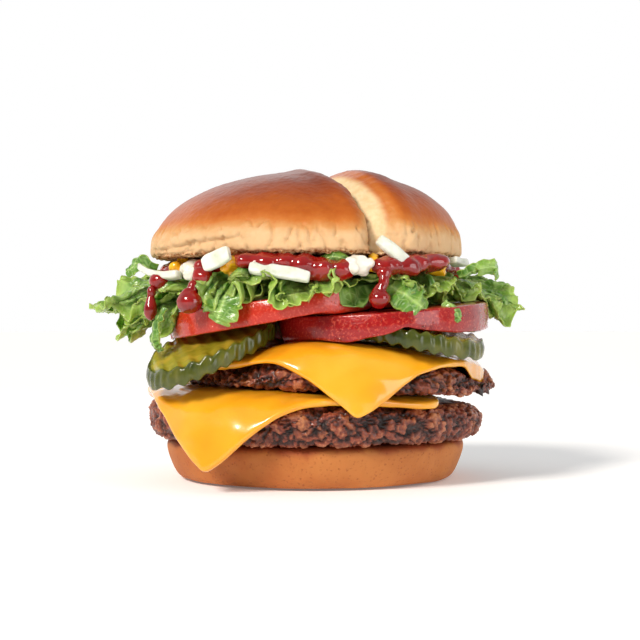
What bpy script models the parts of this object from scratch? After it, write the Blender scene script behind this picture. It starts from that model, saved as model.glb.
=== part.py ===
# Double cheeseburger with a split-top bun, two beef patties, two slices of melted cheese,
# crinkle-cut pickles, tomato, green-leaf lettuce, onion, ketchup, mustard and mayonnaise.
# Every size below is in millimetres; add_part() turns them into metres.
# The origin is the middle of the heel's flat underside, +Z is up and -Y is the front.

import math

import bmesh
import bpy
from mathutils import Euler, Matrix, Vector, noise
from mathutils.bvhtree import BVHTree

METRE = 0.001

# Driving dimensions
BUN_RADIUS = 50.6
HEEL_FOOT_RADIUS = 43.2
HEEL_HEIGHT = 13.8
LOWER_PATTY_RADIUS = 55.0
LOWER_PATTY_TOP = 26.4
LOWER_PATTY_LEAN = (0.0, -0.035)  # rise of its (underside, top) for each mm towards +X
UPPER_PATTY_RADIUS = 51.5
UPPER_PATTY_CENTRE = (8.0, 0.0)
UPPER_PATTY_BOTTOM = 29.8
UPPER_PATTY_TOP = 41.4
UPPER_PATTY_LEAN = (-0.03, -0.048)
CHEESE_THICKNESS = 2.5
PICKLE_RADIUS = 20.5
PICKLE_THICKNESS = 5.0
PICKLE_WAVE_PITCH = 5.0
PICKLE_WAVE_HEIGHT = 0.7
TOMATO_LEFT_CENTRE = (-9.0, -8.0)
TOMATO_RIGHT_CENTRE = (21.0, -9.0)
LETTUCE_THICKNESS = 1.1
LETTUCE_LEVEL = 63.2
LETTUCE_INNER_RADIUS = 21.0
ONION_THICKNESS = 2.4
CROWN_CENTRE = (-3.0, 0.0)
CROWN_CUT = 71.0
CROWN_WAIST = 73.5  # the widest level of the crown
CROWN_TOP = 99.6
CROWN_SHOULDER = 0.83  # under 1 fills out the smaller lobe's right side
CLEARANCE = 0.45  # air between two layers


# ---------------------------------------------------------------- scene and helpers

def empty_scene():
    for old in list(bpy.data.objects):
        bpy.data.objects.remove(old, do_unlink=True)


def make_collection(name):
    collection = bpy.data.collections.new(name)
    bpy.context.scene.collection.children.link(collection)
    return collection


def food_material(name, colour, roughness, coat=0.0, subsurface=0.0):
    material = bpy.data.materials.new(name)
    material.use_nodes = True
    shader = material.node_tree.nodes["Principled BSDF"]
    shader.inputs["Base Color"].default_value = (*colour, 1.0)
    shader.inputs["Roughness"].default_value = roughness
    shader.inputs["Metallic"].default_value = 0.0
    shader.inputs["Coat Weight"].default_value = coat
    shader.inputs["Subsurface Weight"].default_value = subsurface
    material.diffuse_color = (*colour, 1.0)
    return material


def add_part(name, bm, material, thickness=0.0):
    """Turn a bmesh in millimetres into a named object in metres.

    With a thickness the bmesh is an open sheet, which grows that far along its normals.
    """
    bmesh.ops.scale(bm, vec=(METRE, METRE, METRE), verts=bm.verts)
    mesh = bpy.data.meshes.new(name)
    bm.to_mesh(mesh)
    bm.free()
    mesh.materials.append(material)
    mesh.shade_smooth()
    mesh.set_sharp_from_angle(angle=math.radians(50))
    part = bpy.data.objects.new(name, mesh)
    burger.objects.link(part)
    if thickness:
        shell = part.modifiers.new("thickness", "SOLIDIFY")
        shell.thickness = thickness * METRE
        shell.offset = 1.0
        shell.use_even_offset = False
    bpy.context.view_layer.update()
    return part


def smooth_step(value):
    value = min(max(value, 0.0), 1.0)
    return value * value * (3.0 - 2.0 * value)


def along(stations, position):
    """Read a table of (position, value, ...) rows, eased from one row to the next."""
    if position <= stations[0][0]:
        return stations[0][1:]
    for before, after in zip(stations, stations[1:]):
        if position <= after[0]:
            share = smooth_step((position - before[0]) / (after[0] - before[0]))
            return tuple(a + (b - a) * share for a, b in zip(before[1:], after[1:]))
    return stations[-1][1:]


def degrees_round(x, y):
    return math.degrees(math.atan2(y, x)) % 360.0


def surface_points(part):
    """The corners, edge middles and face middles of a finished part, in millimetres."""
    graph = bpy.context.evaluated_depsgraph_get()
    mesh = part.evaluated_get(graph).to_mesh()
    corners = [vert.co / METRE for vert in mesh.vertices]
    points = [(corners[edge.vertices[0]] + corners[edge.vertices[1]]) / 2.0 for edge in mesh.edges]
    points += [face.center / METRE for face in mesh.polygons]
    return corners + points


class Support:
    """The surfaces of finished parts, read in millimetres."""

    def __init__(self, parts):
        graph = bpy.context.evaluated_depsgraph_get()
        self.trees = [BVHTree.FromObject(part, graph) for part in parts]
        self.points = []
        for part in parts:
            self.points += surface_points(part)

    def top(self, x, y):
        start = Vector((x, y, 200.0)) * METRE
        heights = [tree.ray_cast(start, Vector((0.0, 0.0, -1.0)))[0] for tree in self.trees]
        heights = [hit.z / METRE for hit in heights if hit is not None]
        return max(heights) if heights else -1.0

    def top_near(self, x, y, reach=1.3):
        """The highest top within reach, so that a facet between two points stays clear."""
        tops = [self.top(x, y)]
        for turn in range(8):
            angle = math.tau * turn / 8
            tops.append(self.top(x + reach * math.cos(angle), y + reach * math.sin(angle)))
        return max(tops)

    def gap(self, points, within):
        """The smallest distance from any of the points, or `within` if none is nearer."""
        nearest = within
        for point in points:
            for tree in self.trees:
                distance = tree.find_nearest(point * METRE, within * METRE)[3]
                if distance is not None:
                    nearest = min(nearest, distance / METRE)
        return nearest


def nestle(part, support, gap=0.6, step=0.2, most=10.0):
    """Slide a small part level towards the burger's middle until it nearly touches."""
    points = surface_points(part)
    middle = sum(points, Vector()) / len(points)
    inward = Vector((-middle.x, -middle.y, 0.0)).normalized()
    slid = 0.0
    while slid < most and support.gap([point + inward * slid for point in points], 2.0) > gap:
        slid += step
    part.location = inward * slid * METRE
    bpy.context.view_layer.update()


def lie_on(bm, support, reach=1.3, gap=CLEARANCE, most=4.0):
    """Lift a sheet or the underside of a body clear of what is under it.

    First each vertex is lifted over the support, then each face over the support's own
    vertices, by at most `most`, so that neither pokes through the other.
    """
    for vert in bm.verts:
        floor = support.top_near(vert.co.x, vert.co.y, reach) + gap
        vert.co.z = max(vert.co.z, floor)
    for edge in bm.edges:
        middle = (edge.verts[0].co + edge.verts[1].co) / 2.0
        lift = support.top(middle.x, middle.y) + gap - middle.z
        if 0.0 < lift < most:
            for vert in edge.verts:
                vert.co.z += lift
    for _ in range(4):
        bm.faces.ensure_lookup_table()
        underside = BVHTree.FromBMesh(bm)
        lifts = {}
        for point in support.points:
            start = Vector((point.x, point.y, -200.0))
            hit, _normal, index, _distance = underside.ray_cast(start, Vector((0.0, 0.0, 1.0)))
            if hit is None:
                continue
            lift = point.z + gap - hit.z
            if 0.0 < lift < most:
                for vert in bm.faces[index].verts:
                    lifts[vert] = max(lifts.get(vert, 0.0), lift)
        for vert, lift in lifts.items():
            vert.co.z += lift


def turned(profile, segments):
    """A closed round body: a sphere whose rings are moved to the (radius, height) profile.

    The profile runs from the top down, without its two points on the axis.
    """
    bm = bmesh.new()
    rings = len(profile)
    bmesh.ops.create_uvsphere(bm, u_segments=segments, v_segments=rings + 1, radius=1.0)
    for vert in bm.verts:
        ring = round(math.acos(max(-1.0, min(1.0, vert.co.z))) / math.pi * (rings + 1))
        if ring == 0:
            vert.co = (0.0, 0.0, profile[0][1])
        elif ring == rings + 1:
            vert.co = (0.0, 0.0, profile[-1][1])
        else:
            angle = math.atan2(vert.co.y, vert.co.x)
            radius, height = profile[ring - 1]
            vert.co = (radius * math.cos(angle), radius * math.sin(angle), height)
    return bm


def unit_grid(columns, rows):
    """A flat sheet from -1 to 1 both ways, with its normals up."""
    bm = bmesh.new()
    bmesh.ops.create_grid(bm, x_segments=columns, y_segments=rows, size=1.0)
    return bm


# ---------------------------------------------------------------- bun

def heel():
    """The lower half of the bun: a flat foot, leaning sides and a soft upper rim."""
    profile = [
        (30.0, HEEL_HEIGHT),
        (45.5, HEEL_HEIGHT - 0.2),
        (48.2, HEEL_HEIGHT - 1.0),
        (49.3, HEEL_HEIGHT - 3.0),
        (47.8, 6.0),
        (46.2, 2.4),
        (44.8, 0.7),
        (HEEL_FOOT_RADIUS, 0.0),
        (22.0, 0.0),
    ]
    bm = turned(profile, 34)
    for vert in bm.verts:
        if vert.co.z > 0.5:
            swell = 1.0 + 0.012 * noise.noise(vert.co * 0.05)
            vert.co.x *= swell
            vert.co.y *= swell
    return add_part("bun_heel", bm, bread_pale)


def crown_groove(x, y):
    """Depth of the torn groove between the two lobes, which runs from the front right
    over the top to the back left. Its left wall is steep and its right wall is wide,
    with a raised lip beyond it."""
    start = Vector((19.0, -48.0))
    direction = (Vector((2.0, 4.0)) - start).normalized()
    side = Vector((direction.y, -direction.x))
    distance = (Vector((x, y)) - start).dot(side)
    width = 3.6 if distance < 0 else 5.6
    lip = 1.6 * math.exp(-(((distance - 11.0) / 6.5) ** 2))
    return 5.2 * math.exp(-((distance / width) ** 2)) - lip


def full_shoulder(point, dome):
    """Move a point of the plain dome out to the rounder outline of its right side."""
    side = smooth_step((point.x / max(point.xy.length, 1.0) - 0.1) / 0.8)
    fullness = 1.0 - (1.0 - CROWN_SHOULDER) * side
    angle = math.atan2(point.xy.length / BUN_RADIUS, (point.z - CROWN_WAIST) / dome)
    flat = point.xy.normalized() * BUN_RADIUS * math.sin(angle) ** fullness
    return Vector((*flat, CROWN_WAIST + dome * math.cos(angle) ** fullness))


def crown():
    """The upper half: a low dome of two lobes over a flat cut face."""
    dome = CROWN_TOP - CROWN_WAIST
    rings = 11
    profile = []
    for ring in range(1, rings + 1):
        angle = math.radians(90.0 * ring / rings)
        profile.append((BUN_RADIUS * math.sin(angle), CROWN_WAIST + dome * math.cos(angle)))
    profile += [(BUN_RADIUS - 1.0, CROWN_CUT), (BUN_RADIUS - 14.0, CROWN_CUT)]
    bm = turned(profile, 46)
    heart = Vector((0.0, 0.0, CROWN_CUT))
    for vert in bm.verts:
        if vert.co.z > CROWN_WAIST:
            vert.co = full_shoulder(vert.co, dome)
    for vert in bm.verts:
        if vert.co.z > CROWN_CUT + 0.1:
            spoke = vert.co - heart
            middle = vert.co + Vector((*CROWN_CENTRE, 0.0))
            depth = crown_groove(middle.x, middle.y)
            vert.co = heart + spoke * (1.0 - depth / max(spoke.length, 1.0))
            vert.co.z = max(vert.co.z, CROWN_CUT + 0.2)
        elif vert.co.xy.length > BUN_RADIUS - 5.0:
            middle = vert.co + Vector((*CROWN_CENTRE, 0.0))
            vert.co.xy = vert.co.xy * (1.0 - 0.5 * crown_groove(middle.x, middle.y) / BUN_RADIUS)
    bmesh.ops.translate(bm, vec=(*CROWN_CENTRE, 0.0), verts=bm.verts)
    return add_part("bun_crown", bm, bread_brown)


# ---------------------------------------------------------------- meat

def patty(name, centre, radius, bottom, top, lean, belly, support, seed, worn_sides=()):
    """A thick disc of coarse minced beef with a broken, rounded rim.

    lean is the slope of its underside and top along X, and belly the share of its
    height at which it is widest. Each worn side is (from, to, drop): between those two
    directions the rim is broken away and its top falls by drop.
    """
    height = top - bottom
    profile = [
        (0.45 * radius, top),
        (0.76 * radius, top),
        (0.90 * radius, top - 0.06 * height),
        (0.96 * radius, top - (0.30 - 0.16 * belly) * height),
        (1.000 * radius, bottom + belly * height),
        (0.985 * radius, bottom + (0.05 + 0.28 * belly) * height),
        (0.945 * radius, bottom - 0.08 * height),
        (0.84 * radius, bottom),
        (0.45 * radius, bottom),
    ]
    bm = turned(profile, 38)
    offset = Vector((seed * 31.0, seed * 17.0, seed * 7.0))
    for vert in bm.verts:
        share = vert.co.xy.length / radius
        rim = smooth_step((share - 0.6) / 0.35)
        lump = noise.noise((vert.co + offset) * 0.11) + 0.5 * noise.noise((vert.co + offset) * 0.27)
        turn = degrees_round(vert.co.x, vert.co.y)
        for first, last, drop in worn_sides:
            past = (turn - first) % 360.0
            if past < last - first and vert.co.z > bottom + 0.3 * height:
                across = past / (last - first)
                fall = math.sin(math.pi * across) ** 0.5 * smooth_step((share - 0.4) / 0.5)
                vert.co.z -= drop * fall
        vert.co.x *= 1.0 + 0.022 * rim * lump
        vert.co.y *= 1.0 + 0.022 * rim * lump
        level = (vert.co.z - bottom) / height
        vert.co.z += 0.4 * rim * lump + (lean[0] + (lean[1] - lean[0]) * level) * vert.co.x
    bmesh.ops.translate(bm, vec=(*centre, 0.0), verts=bm.verts)
    lie_on(bm, support, reach=2.0)
    return add_part(name, bm, beef)


# ---------------------------------------------------------------- cheese

def fold_over(point, centre, edge, bend, steepest):
    """Fold a point of a flat slice over a round edge: its place, and how far it drops."""
    spoke = Vector(point) - Vector(centre)
    reach = spoke.length
    if reach <= edge:
        return point[0], point[1], 0.0
    past = reach - edge
    turn = min(past / bend, math.radians(steepest))
    hang = past - bend * turn
    outward = bend * math.sin(turn) + hang * math.cos(turn)
    drop = bend * (1.0 - math.cos(turn)) + hang * math.sin(turn)
    place = Vector(centre) + spoke.normalized() * (edge + outward)
    return place.x, place.y, drop


def cheese(name, corners, centre, edge, bend, support):
    """A melted square slice. corners are (front tip, right, back, left) as it lay flat."""
    tip, right, back, left = (Vector(corner) for corner in corners)
    bm = unit_grid(10, 10)
    for vert in bm.verts:
        across = (vert.co.x + 1.0) / 2.0
        deep = (vert.co.y + 1.0) / 2.0
        flat = tip.lerp(right, across).lerp(left.lerp(back, across), deep)
        middle = (tip + back) / 2.0
        pull = 0.07 * (vert.co.x * vert.co.y) ** 8
        flat = flat.lerp(middle, pull)
        x, y, drop = fold_over(flat, centre, edge, bend, 84.0)
        hold = Vector(centre) + (Vector((x, y)) - Vector(centre)) * min(
            1.0, edge / max((Vector((x, y)) - Vector(centre)).length, 1.0)
        )
        vert.co = (x, y, support.top_near(hold.x, hold.y, 2.5) + CLEARANCE - drop)
    lie_on(bm, support, reach=0.1, most=2.5)
    return add_part(name, bm, cheddar, thickness=CHEESE_THICKNESS)


# ---------------------------------------------------------------- pickles

def pickle(name, centre, level, slope, spin, support):
    """A crinkle-cut slice: a disc whose two faces carry the same waves.

    level is the height of its underside at the centre and slope its rise along (X, Y).
    It is soft enough to bend over what is under it. spin turns its waves, in degrees.
    """
    bm = unit_grid(16, 4)
    spin = Matrix.Rotation(math.radians(spin), 2)
    for vert in bm.verts:
        s, t = vert.co.x, vert.co.y
        flat = Vector((s * math.sqrt(1.0 - 0.5 * t * t), t * math.sqrt(1.0 - 0.5 * s * s)))
        flat *= PICKLE_RADIUS
        wave = PICKLE_WAVE_HEIGHT * math.cos(math.tau * flat.x / PICKLE_WAVE_PITCH)
        flat = spin @ flat
        height = level + slope[0] * flat.x + slope[1] * flat.y
        x = flat.x / math.hypot(1.0, slope[0]) + centre[0]
        y = flat.y / math.hypot(1.0, slope[1]) + centre[1]
        vert.co = (x, y, height + wave)
    lie_on(bm, support, reach=3.4, gap=CLEARANCE + 0.9)
    upper = bmesh.ops.extrude_face_region(bm, geom=bm.faces[:])["geom"]
    upper = [item for item in upper if isinstance(item, bmesh.types.BMVert)]
    bmesh.ops.translate(bm, vec=(0.0, 0.0, PICKLE_THICKNESS), verts=upper)
    bmesh.ops.recalc_face_normals(bm, faces=bm.faces)
    return add_part(name, bm, pickle_skin)


# ---------------------------------------------------------------- tomato

def tomato(name, centre, radii, level, lean, thickness, support):
    """A thick slice with an upright, barely rounded skin, tilted and cut as a slight wedge.

    level is the height of its underside at the centre, lean its slope along (X, Y)
    and thickness the two values at its left and right ends.
    """
    profile = [
        (0.55, 1.0),
        (0.93, 1.0),
        (0.985, 0.92),
        (1.0, 0.5),
        (0.99, 0.06),
        (0.945, 0.0),
        (0.55, 0.0),
    ]
    bm = turned(profile, 36)
    for vert in bm.verts:
        turn = math.atan2(vert.co.y, vert.co.x)
        lobes = 1.0 + 0.012 * math.cos(3.0 * turn + centre[0]) + 0.008 * math.cos(5.0 * turn)
        share = (vert.co.x + 1.0) / 2.0
        deep = thickness[0] + (thickness[1] - thickness[0]) * share
        x = vert.co.x * radii[0] * lobes
        y = vert.co.y * radii[1] * lobes
        vert.co = (x, y, level + vert.co.z * deep + lean[0] * x + lean[1] * y)
    bmesh.ops.translate(bm, vec=(*centre, 0.0), verts=bm.verts)
    lie_on(bm, support, reach=2.6, gap=CLEARANCE + 0.5)
    return add_part(name, bm, tomato_flesh)


# ---------------------------------------------------------------- lettuce

def leaf(name, stations, level, inner, support, ruffle, waves, phase):
    """A ruffled leaf that fans out from inside the burger and hangs over its rim.

    stations are (direction in degrees, reach, height of its edge).
    """
    first, last = stations[0][0], stations[-1][0]
    columns = max(6, round((last - first) / 4.6))
    bm = unit_grid(columns, 4)
    for vert in bm.verts:
        across = (vert.co.x + 1.0) / 2.0
        out = (vert.co.y + 1.0) / 2.0
        direction = last + (first - last) * across
        reach, edge = along(stations, direction)
        radius = inner + (reach - inner) * out ** 0.8
        fall = smooth_step((radius - 43.0) / max(reach - 43.0, 1.0)) ** 1.3
        frill = ruffle * fall * math.sin(math.radians(waves * direction + phase))
        radius += 0.5 * ruffle * fall * math.cos(math.radians(0.6 * waves * direction + phase))
        height = level + (edge - level) * fall + frill
        turn = math.radians(direction)
        vert.co = (radius * math.cos(turn), radius * math.sin(turn), height)
    bmesh.ops.recalc_face_normals(bm, faces=bm.faces)
    if sum(face.normal.z for face in bm.faces) < 0:
        bmesh.ops.reverse_faces(bm, faces=bm.faces)
    lie_on(bm, support, reach=3.0, gap=CLEARANCE + 0.4)
    return add_part(name, bm, lettuce_green, thickness=LETTUCE_THICKNESS)


# ---------------------------------------------------------------- sauces and onion

def sauce_bed(stations, support):
    """The ketchup that fills the burger under the crown; its rim bulges and recedes."""
    profile = [
        (0.62, 1.0),
        (0.93, 0.95),
        (1.0, 0.6),
        (0.97, 0.2),
        (0.90, 0.0),
        (0.55, 0.0),
    ]
    bm = turned(profile, 48)
    top = CROWN_CUT - CLEARANCE
    bottom = LETTUCE_LEVEL + 0.8
    for vert in bm.verts:
        turn = degrees_round(vert.co.x, vert.co.y)
        reach = along(stations, turn)[0]
        vert.co.x *= reach
        vert.co.y *= reach
        floor = max(bottom, support.top_near(vert.co.x, vert.co.y, 2.5) + CLEARANCE)
        floor = min(floor, top - 0.8)
        vert.co.z = floor + (top - floor) * vert.co.z
    lie_on(bm, support, reach=0.1)
    return add_part("ketchup_bed", bm, ketchup)


def blob(name, material, place, radii, support, tip=0.0, turn=0.0, under_crown=True):
    """A soft dollop or hanging drop. tip narrows its upper end, as on a drop."""
    bm = bmesh.new()
    bmesh.ops.create_uvsphere(bm, u_segments=9, v_segments=6, radius=1.0)
    for vert in bm.verts:
        vert.co.xy *= 1.0 - tip * smooth_step((vert.co.z + 0.2) / 1.2)
    bmesh.ops.scale(bm, vec=radii, verts=bm.verts)
    spin = Matrix.Rotation(math.radians(turn), 3, "Z")
    bmesh.ops.rotate(bm, cent=(0.0, 0.0, 0.0), matrix=spin, verts=bm.verts)
    bmesh.ops.translate(bm, vec=place, verts=bm.verts)
    if support:
        lie_on(bm, support, reach=1.0)
    if under_crown:
        for vert in bm.verts:
            vert.co.z = min(vert.co.z, CROWN_CUT - CLEARANCE)
    return add_part(name, bm, material)


def onion(name, place, size, arc, turn):
    """A strip of raw onion, bent round its own layer. arc is its bend in degrees."""
    length, width = size
    bm = unit_grid(6, 1)
    for vert in bm.verts:
        run = vert.co.x * length / 2.0
        rise = vert.co.y * width / 2.0 * (1.0 - 0.25 * vert.co.x ** 4)
        bend = math.radians(arc) / length
        angle = run * bend
        vert.co = (math.sin(angle) / bend, (1.0 - math.cos(angle)) / bend, rise)
    matrix = Euler([math.radians(value) for value in turn]).to_matrix().to_4x4()
    bmesh.ops.transform(bm, matrix=Matrix.Translation(place) @ matrix, verts=bm.verts)
    return add_part(name, bm, onion_white, thickness=ONION_THICKNESS)


# ---------------------------------------------------------------- assembly

empty_scene()
burger = make_collection("double_cheeseburger")

bread_brown = food_material("bread_brown", (0.48, 0.16, 0.045), 0.42, coat=0.15)
bread_pale = food_material("bread_pale", (0.62, 0.27, 0.09), 0.75)
beef = food_material("beef", (0.095, 0.040, 0.025), 0.45, coat=0.4)
cheddar = food_material("cheddar", (0.93, 0.46, 0.03), 0.25, coat=0.3, subsurface=0.1)
pickle_skin = food_material("pickle", (0.27, 0.24, 0.04), 0.25, coat=0.4)
tomato_flesh = food_material("tomato", (0.60, 0.03, 0.02), 0.2, coat=0.5)
lettuce_green = food_material("lettuce", (0.16, 0.36, 0.06), 0.4)
ketchup = food_material("ketchup", (0.33, 0.008, 0.008), 0.1, coat=0.6)
mustard = food_material("mustard", (0.88, 0.43, 0.02), 0.25)
mayonnaise = food_material("mayonnaise", (0.80, 0.78, 0.70), 0.25)
onion_white = food_material("onion", (0.80, 0.82, 0.74), 0.3)

bun_heel = heel()
patty_lower = patty(
    "patty_lower", (0.0, 0.0), LOWER_PATTY_RADIUS, HEEL_HEIGHT + CLEARANCE, LOWER_PATTY_TOP,
    LOWER_PATTY_LEAN, 0.58, Support([bun_heel]), seed=1,
)
cheese_lower = cheese(
    "cheese_lower", [(-42.8, -68.6), (41.0, -42.0), (21.0, 44.0), (-58.6, 24.0)],
    (0.0, 0.0), LOWER_PATTY_RADIUS - 1.8, 5.0, Support([patty_lower]),
)
patty_upper = patty(
    "patty_upper", UPPER_PATTY_CENTRE, UPPER_PATTY_RADIUS, UPPER_PATTY_BOTTOM, UPPER_PATTY_TOP,
    UPPER_PATTY_LEAN, 0.36, Support([patty_lower, cheese_lower]), seed=2,
    worn_sides=[(176.0, 248.0, 6.5), (284.0, 380.0, 3.4)],
)
cheese_upper = cheese(
    "cheese_upper", [(13.8, -74.5), (67.0, -4.5), (-1.0, 50.0), (-51.5, -14.5)],
    UPPER_PATTY_CENTRE, UPPER_PATTY_RADIUS - 2.6, 4.0, Support([patty_upper, cheese_lower]),
)
below = Support([patty_lower, cheese_lower, patty_upper, cheese_upper])
pickle_left = pickle("pickle_left", (-32.0, -29.0), 38.4, (0.27, 0.20), 12.0, below)
pickle_right = pickle("pickle_right", (31.8, -29.0), 42.4, (-0.13, 0.03), -8.0, below)
pickle_back_left = pickle("pickle_back_left", (-27.0, 32.0), 40.0, (0.12, -0.26), 70.0, below)
pickle_back_right = pickle("pickle_back_right", (28.5, 34.0), 41.2, (-0.10, -0.22), 112.0, below)

pickles = [pickle_left, pickle_right, pickle_back_left, pickle_back_right]
below = Support([cheese_upper, patty_upper] + pickles)
tomato_right = tomato(
    "tomato_right", TOMATO_RIGHT_CENTRE, (35.0, 42.5), 46.9, (0.04, 0.03), (7.2, 9.4), below,
)
below = Support([cheese_upper, tomato_right] + pickles)
tomato_left = tomato(
    "tomato_left", TOMATO_LEFT_CENTRE, (38.0, 42.5), 51.0, (0.18, 0.0), (9.4, 5.6), below,
)

slices = Support([tomato_left, tomato_right] + pickles)
lettuce_left_low = leaf(
    "lettuce_left_low",
    [(168, 57, 54), (176, 64, 51.5), (183, 68.5, 48.5), (189, 64, 45.5), (195, 59, 48),
     (201, 56, 47), (207, 55, 44), (214, 53.5, 50)],
    57.0, 34.0, slices, 1.6, 22.0, 40.0,
)
lettuce_front_low = leaf(
    "lettuce_front_low",
    [(217, 53, 55), (223, 51, 57), (230, 51, 53), (237, 50, 57), (245, 51, 57), (252, 50, 60)],
    57.0, 34.0, slices, 1.2, 26.0, 60.0,
)
over = Support([tomato_left, tomato_right, lettuce_left_low, lettuce_front_low])
lettuce_left = leaf(
    "lettuce_left",
    [(152, 60, 66), (160, 62, 68), (168, 67, 65), (175, 72, 60), (180, 75, 54.5),
     (187, 70, 53), (195, 62, 57), (204, 56, 59), (211, 53, 60)],
    LETTUCE_LEVEL, LETTUCE_INNER_RADIUS, over, 2.3, 20.0, 10.0,
)
lettuce_front = leaf(
    "lettuce_front",
    [(214, 50, 61), (226, 49, 59), (233, 55, 54), (240, 57, 50), (247, 55, 53.5), (253, 53, 57),
     (260, 56, 53.5), (268, 54, 57), (276, 52, 59), (286, 49, 61)],
    LETTUCE_LEVEL, LETTUCE_INNER_RADIUS, over, 1.4, 20.0, 200.0,
)
lettuce_front_right = leaf(
    "lettuce_front_right",
    [(294, 50, 60), (300, 54, 57), (306, 56, 52.5), (311, 55, 54), (318, 55, 55.5),
     (323, 55, 50.5), (328, 53, 56)],
    LETTUCE_LEVEL, LETTUCE_INNER_RADIUS, over, 1.5, 22.0, 90.0,
)
lettuce_right = leaf(
    "lettuce_right",
    [(332, 54, 57), (339, 58, 49), (346, 60, 44.5), (353, 65, 48.5), (360, 69, 51),
     (367, 68, 57), (374, 65, 63), (381, 60, 68)],
    LETTUCE_LEVEL, LETTUCE_INNER_RADIUS, over, 2.3, 20.0, 0.0,
)
lettuce_back = leaf(
    "lettuce_back",
    [(25, 57, 64), (40, 54, 56), (55, 58, 52), (70, 54, 60), (85, 58, 53), (100, 54, 61),
     (118, 58, 54), (134, 55, 62), (148, 59, 60)],
    LETTUCE_LEVEL, LETTUCE_INNER_RADIUS, over, 1.6, 18.0, 0.0,
)
leaves = [lettuce_left, lettuce_front, lettuce_front_right, lettuce_right, lettuce_back]

over = Support([tomato_left, tomato_right] + leaves)
ketchup_bed = sauce_bed(
    [(0, 46), (20, 50), (40, 47), (55, 41), (68, 41), (76, 49), (90, 50), (97, 42), (108, 42),
     (114, 49), (126, 42), (138, 42), (146, 49), (165, 47), (180, 50.5), (192, 50.5), (200, 45),
     (214, 43), (224, 43), (243, 42), (249, 49.5), (278, 50.5), (281, 42), (294, 42), (298, 49),
     (313, 50.5), (316, 43), (338, 43), (344, 47), (360, 46)],
    over,
)
bun_crown = crown()
fillings = [bun_crown, ketchup_bed, tomato_left, tomato_right, lettuce_left_low, lettuce_front_low]
fillings += leaves
over = Support(leaves)
blobs = [
    # name, material, (x, y, z), radii, narrowing, turn
    ("mustard_left", mustard, (-47.6, -22.5, 67.4), (2.6, 2.9, 2.8), 0.0, 0.0),
    ("mayonnaise_left", mayonnaise, (-41.6, -31.0, 67.2), (3.7, 3.3, 2.9), 0.0, 20.0),
    ("mustard_front", mustard, (-25.0, -45.5, 67.4), (2.9, 2.6, 3.0), 0.0, 0.0),
    ("mayonnaise_front", mayonnaise, (13.4, -48.5, 67.6), (3.5, 2.8, 3.3), 0.0, 0.0),
    ("mustard_front_right", mustard, (19.4, -47.2, 68.0), (2.0, 2.4, 2.7), 0.0, 0.0),
    ("mustard_right", mustard, (43.6, -32.5, 67.9), (3.0, 2.7, 2.6), 0.0, 0.0),
    ("mustard_back", mustard, (-10.0, 46.5, 67.4), (3.6, 2.8, 3.0), 0.0, 0.0),
    ("mayonnaise_back", mayonnaise, (-33.0, 35.5, 67.4), (3.8, 3.0, 2.9), 0.0, 40.0),
]
sauces = []
for name, material, place, radii, narrow, turn in blobs:
    dollop = blob(name, material, place, radii, over, narrow, turn)
    nestle(dollop, Support(fillings + sauces))
    sauces.append(dollop)

drops = [
    ("ketchup_blob_left", (-36.0, -40.5, 64.6), (2.9, 2.3, 3.4), 0.0),
    ("ketchup_drop_front_left", (-39.4, -44.8, 57.0), (3.8, 2.8, 4.1), 0.35),
    ("ketchup_drop_left", (-54.6, -27.6, 55.4), (2.2, 2.0, 4.6), 0.3),
    ("ketchup_drop_right", (21.2, -54.0, 58.2), (3.4, 2.4, 4.0), 0.45),
]
for name, place, radii, narrow in drops:
    drop = blob(name, ketchup, place, radii, None, narrow, 0.0, under_crown=False)
    nestle(drop, Support(fillings + sauces))
    sauces.append(drop)

onions = [
    # name, (x, y, z), (length, width), bend, (about X, about Y, about Z)
    ("onion_left", (-48.9, -23.6, 66.4), (16.5, 4.5), 46.0, (78.0, 10.0, -34.0)),
    ("onion_front_left", (-28.6, -46.6, 69.2), (9.4, 5.2), 20.0, (-8.0, -22.0, -30.0)),
    ("onion_front", (-11.2, -55.6, 64.9), (18.0, 4.0), 14.0, (-30.0, 9.0, -8.0)),
    ("onion_front_right", (28.0, -50.6, 70.6), (15.6, 3.8), 14.0, (-8.0, 36.0, 27.0)),
    ("onion_right", (54.0, -23.0, 70.6), (9.0, 4.0), 20.0, (80.0, 4.0, 60.0)),
    ("onion_back_left", (-43.6, 32.0, 70.2), (15.0, 4.4), 24.0, (10.0, 12.0, 240.0)),
    ("onion_back_right", (26.4, 47.0, 68.0), (14.0, 4.4), 24.0, (-8.0, -14.0, 150.0)),
]
for name, place, size, arc, turn in onions:
    strip = onion(name, place, size, arc, turn)
    nestle(strip, Support(fillings + sauces))
    sauces.append(strip)
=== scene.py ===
# A double cheeseburger, dressed for a close-up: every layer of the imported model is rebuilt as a
# fine mesh in the same place and gets its real finish. Sizes are in millimetres until addPiece.
import math
import random

import bmesh
import bpy
import numpy as np
from mathutils import Matrix, Vector, noise
from mathutils.bvhtree import BVHTree


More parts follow.
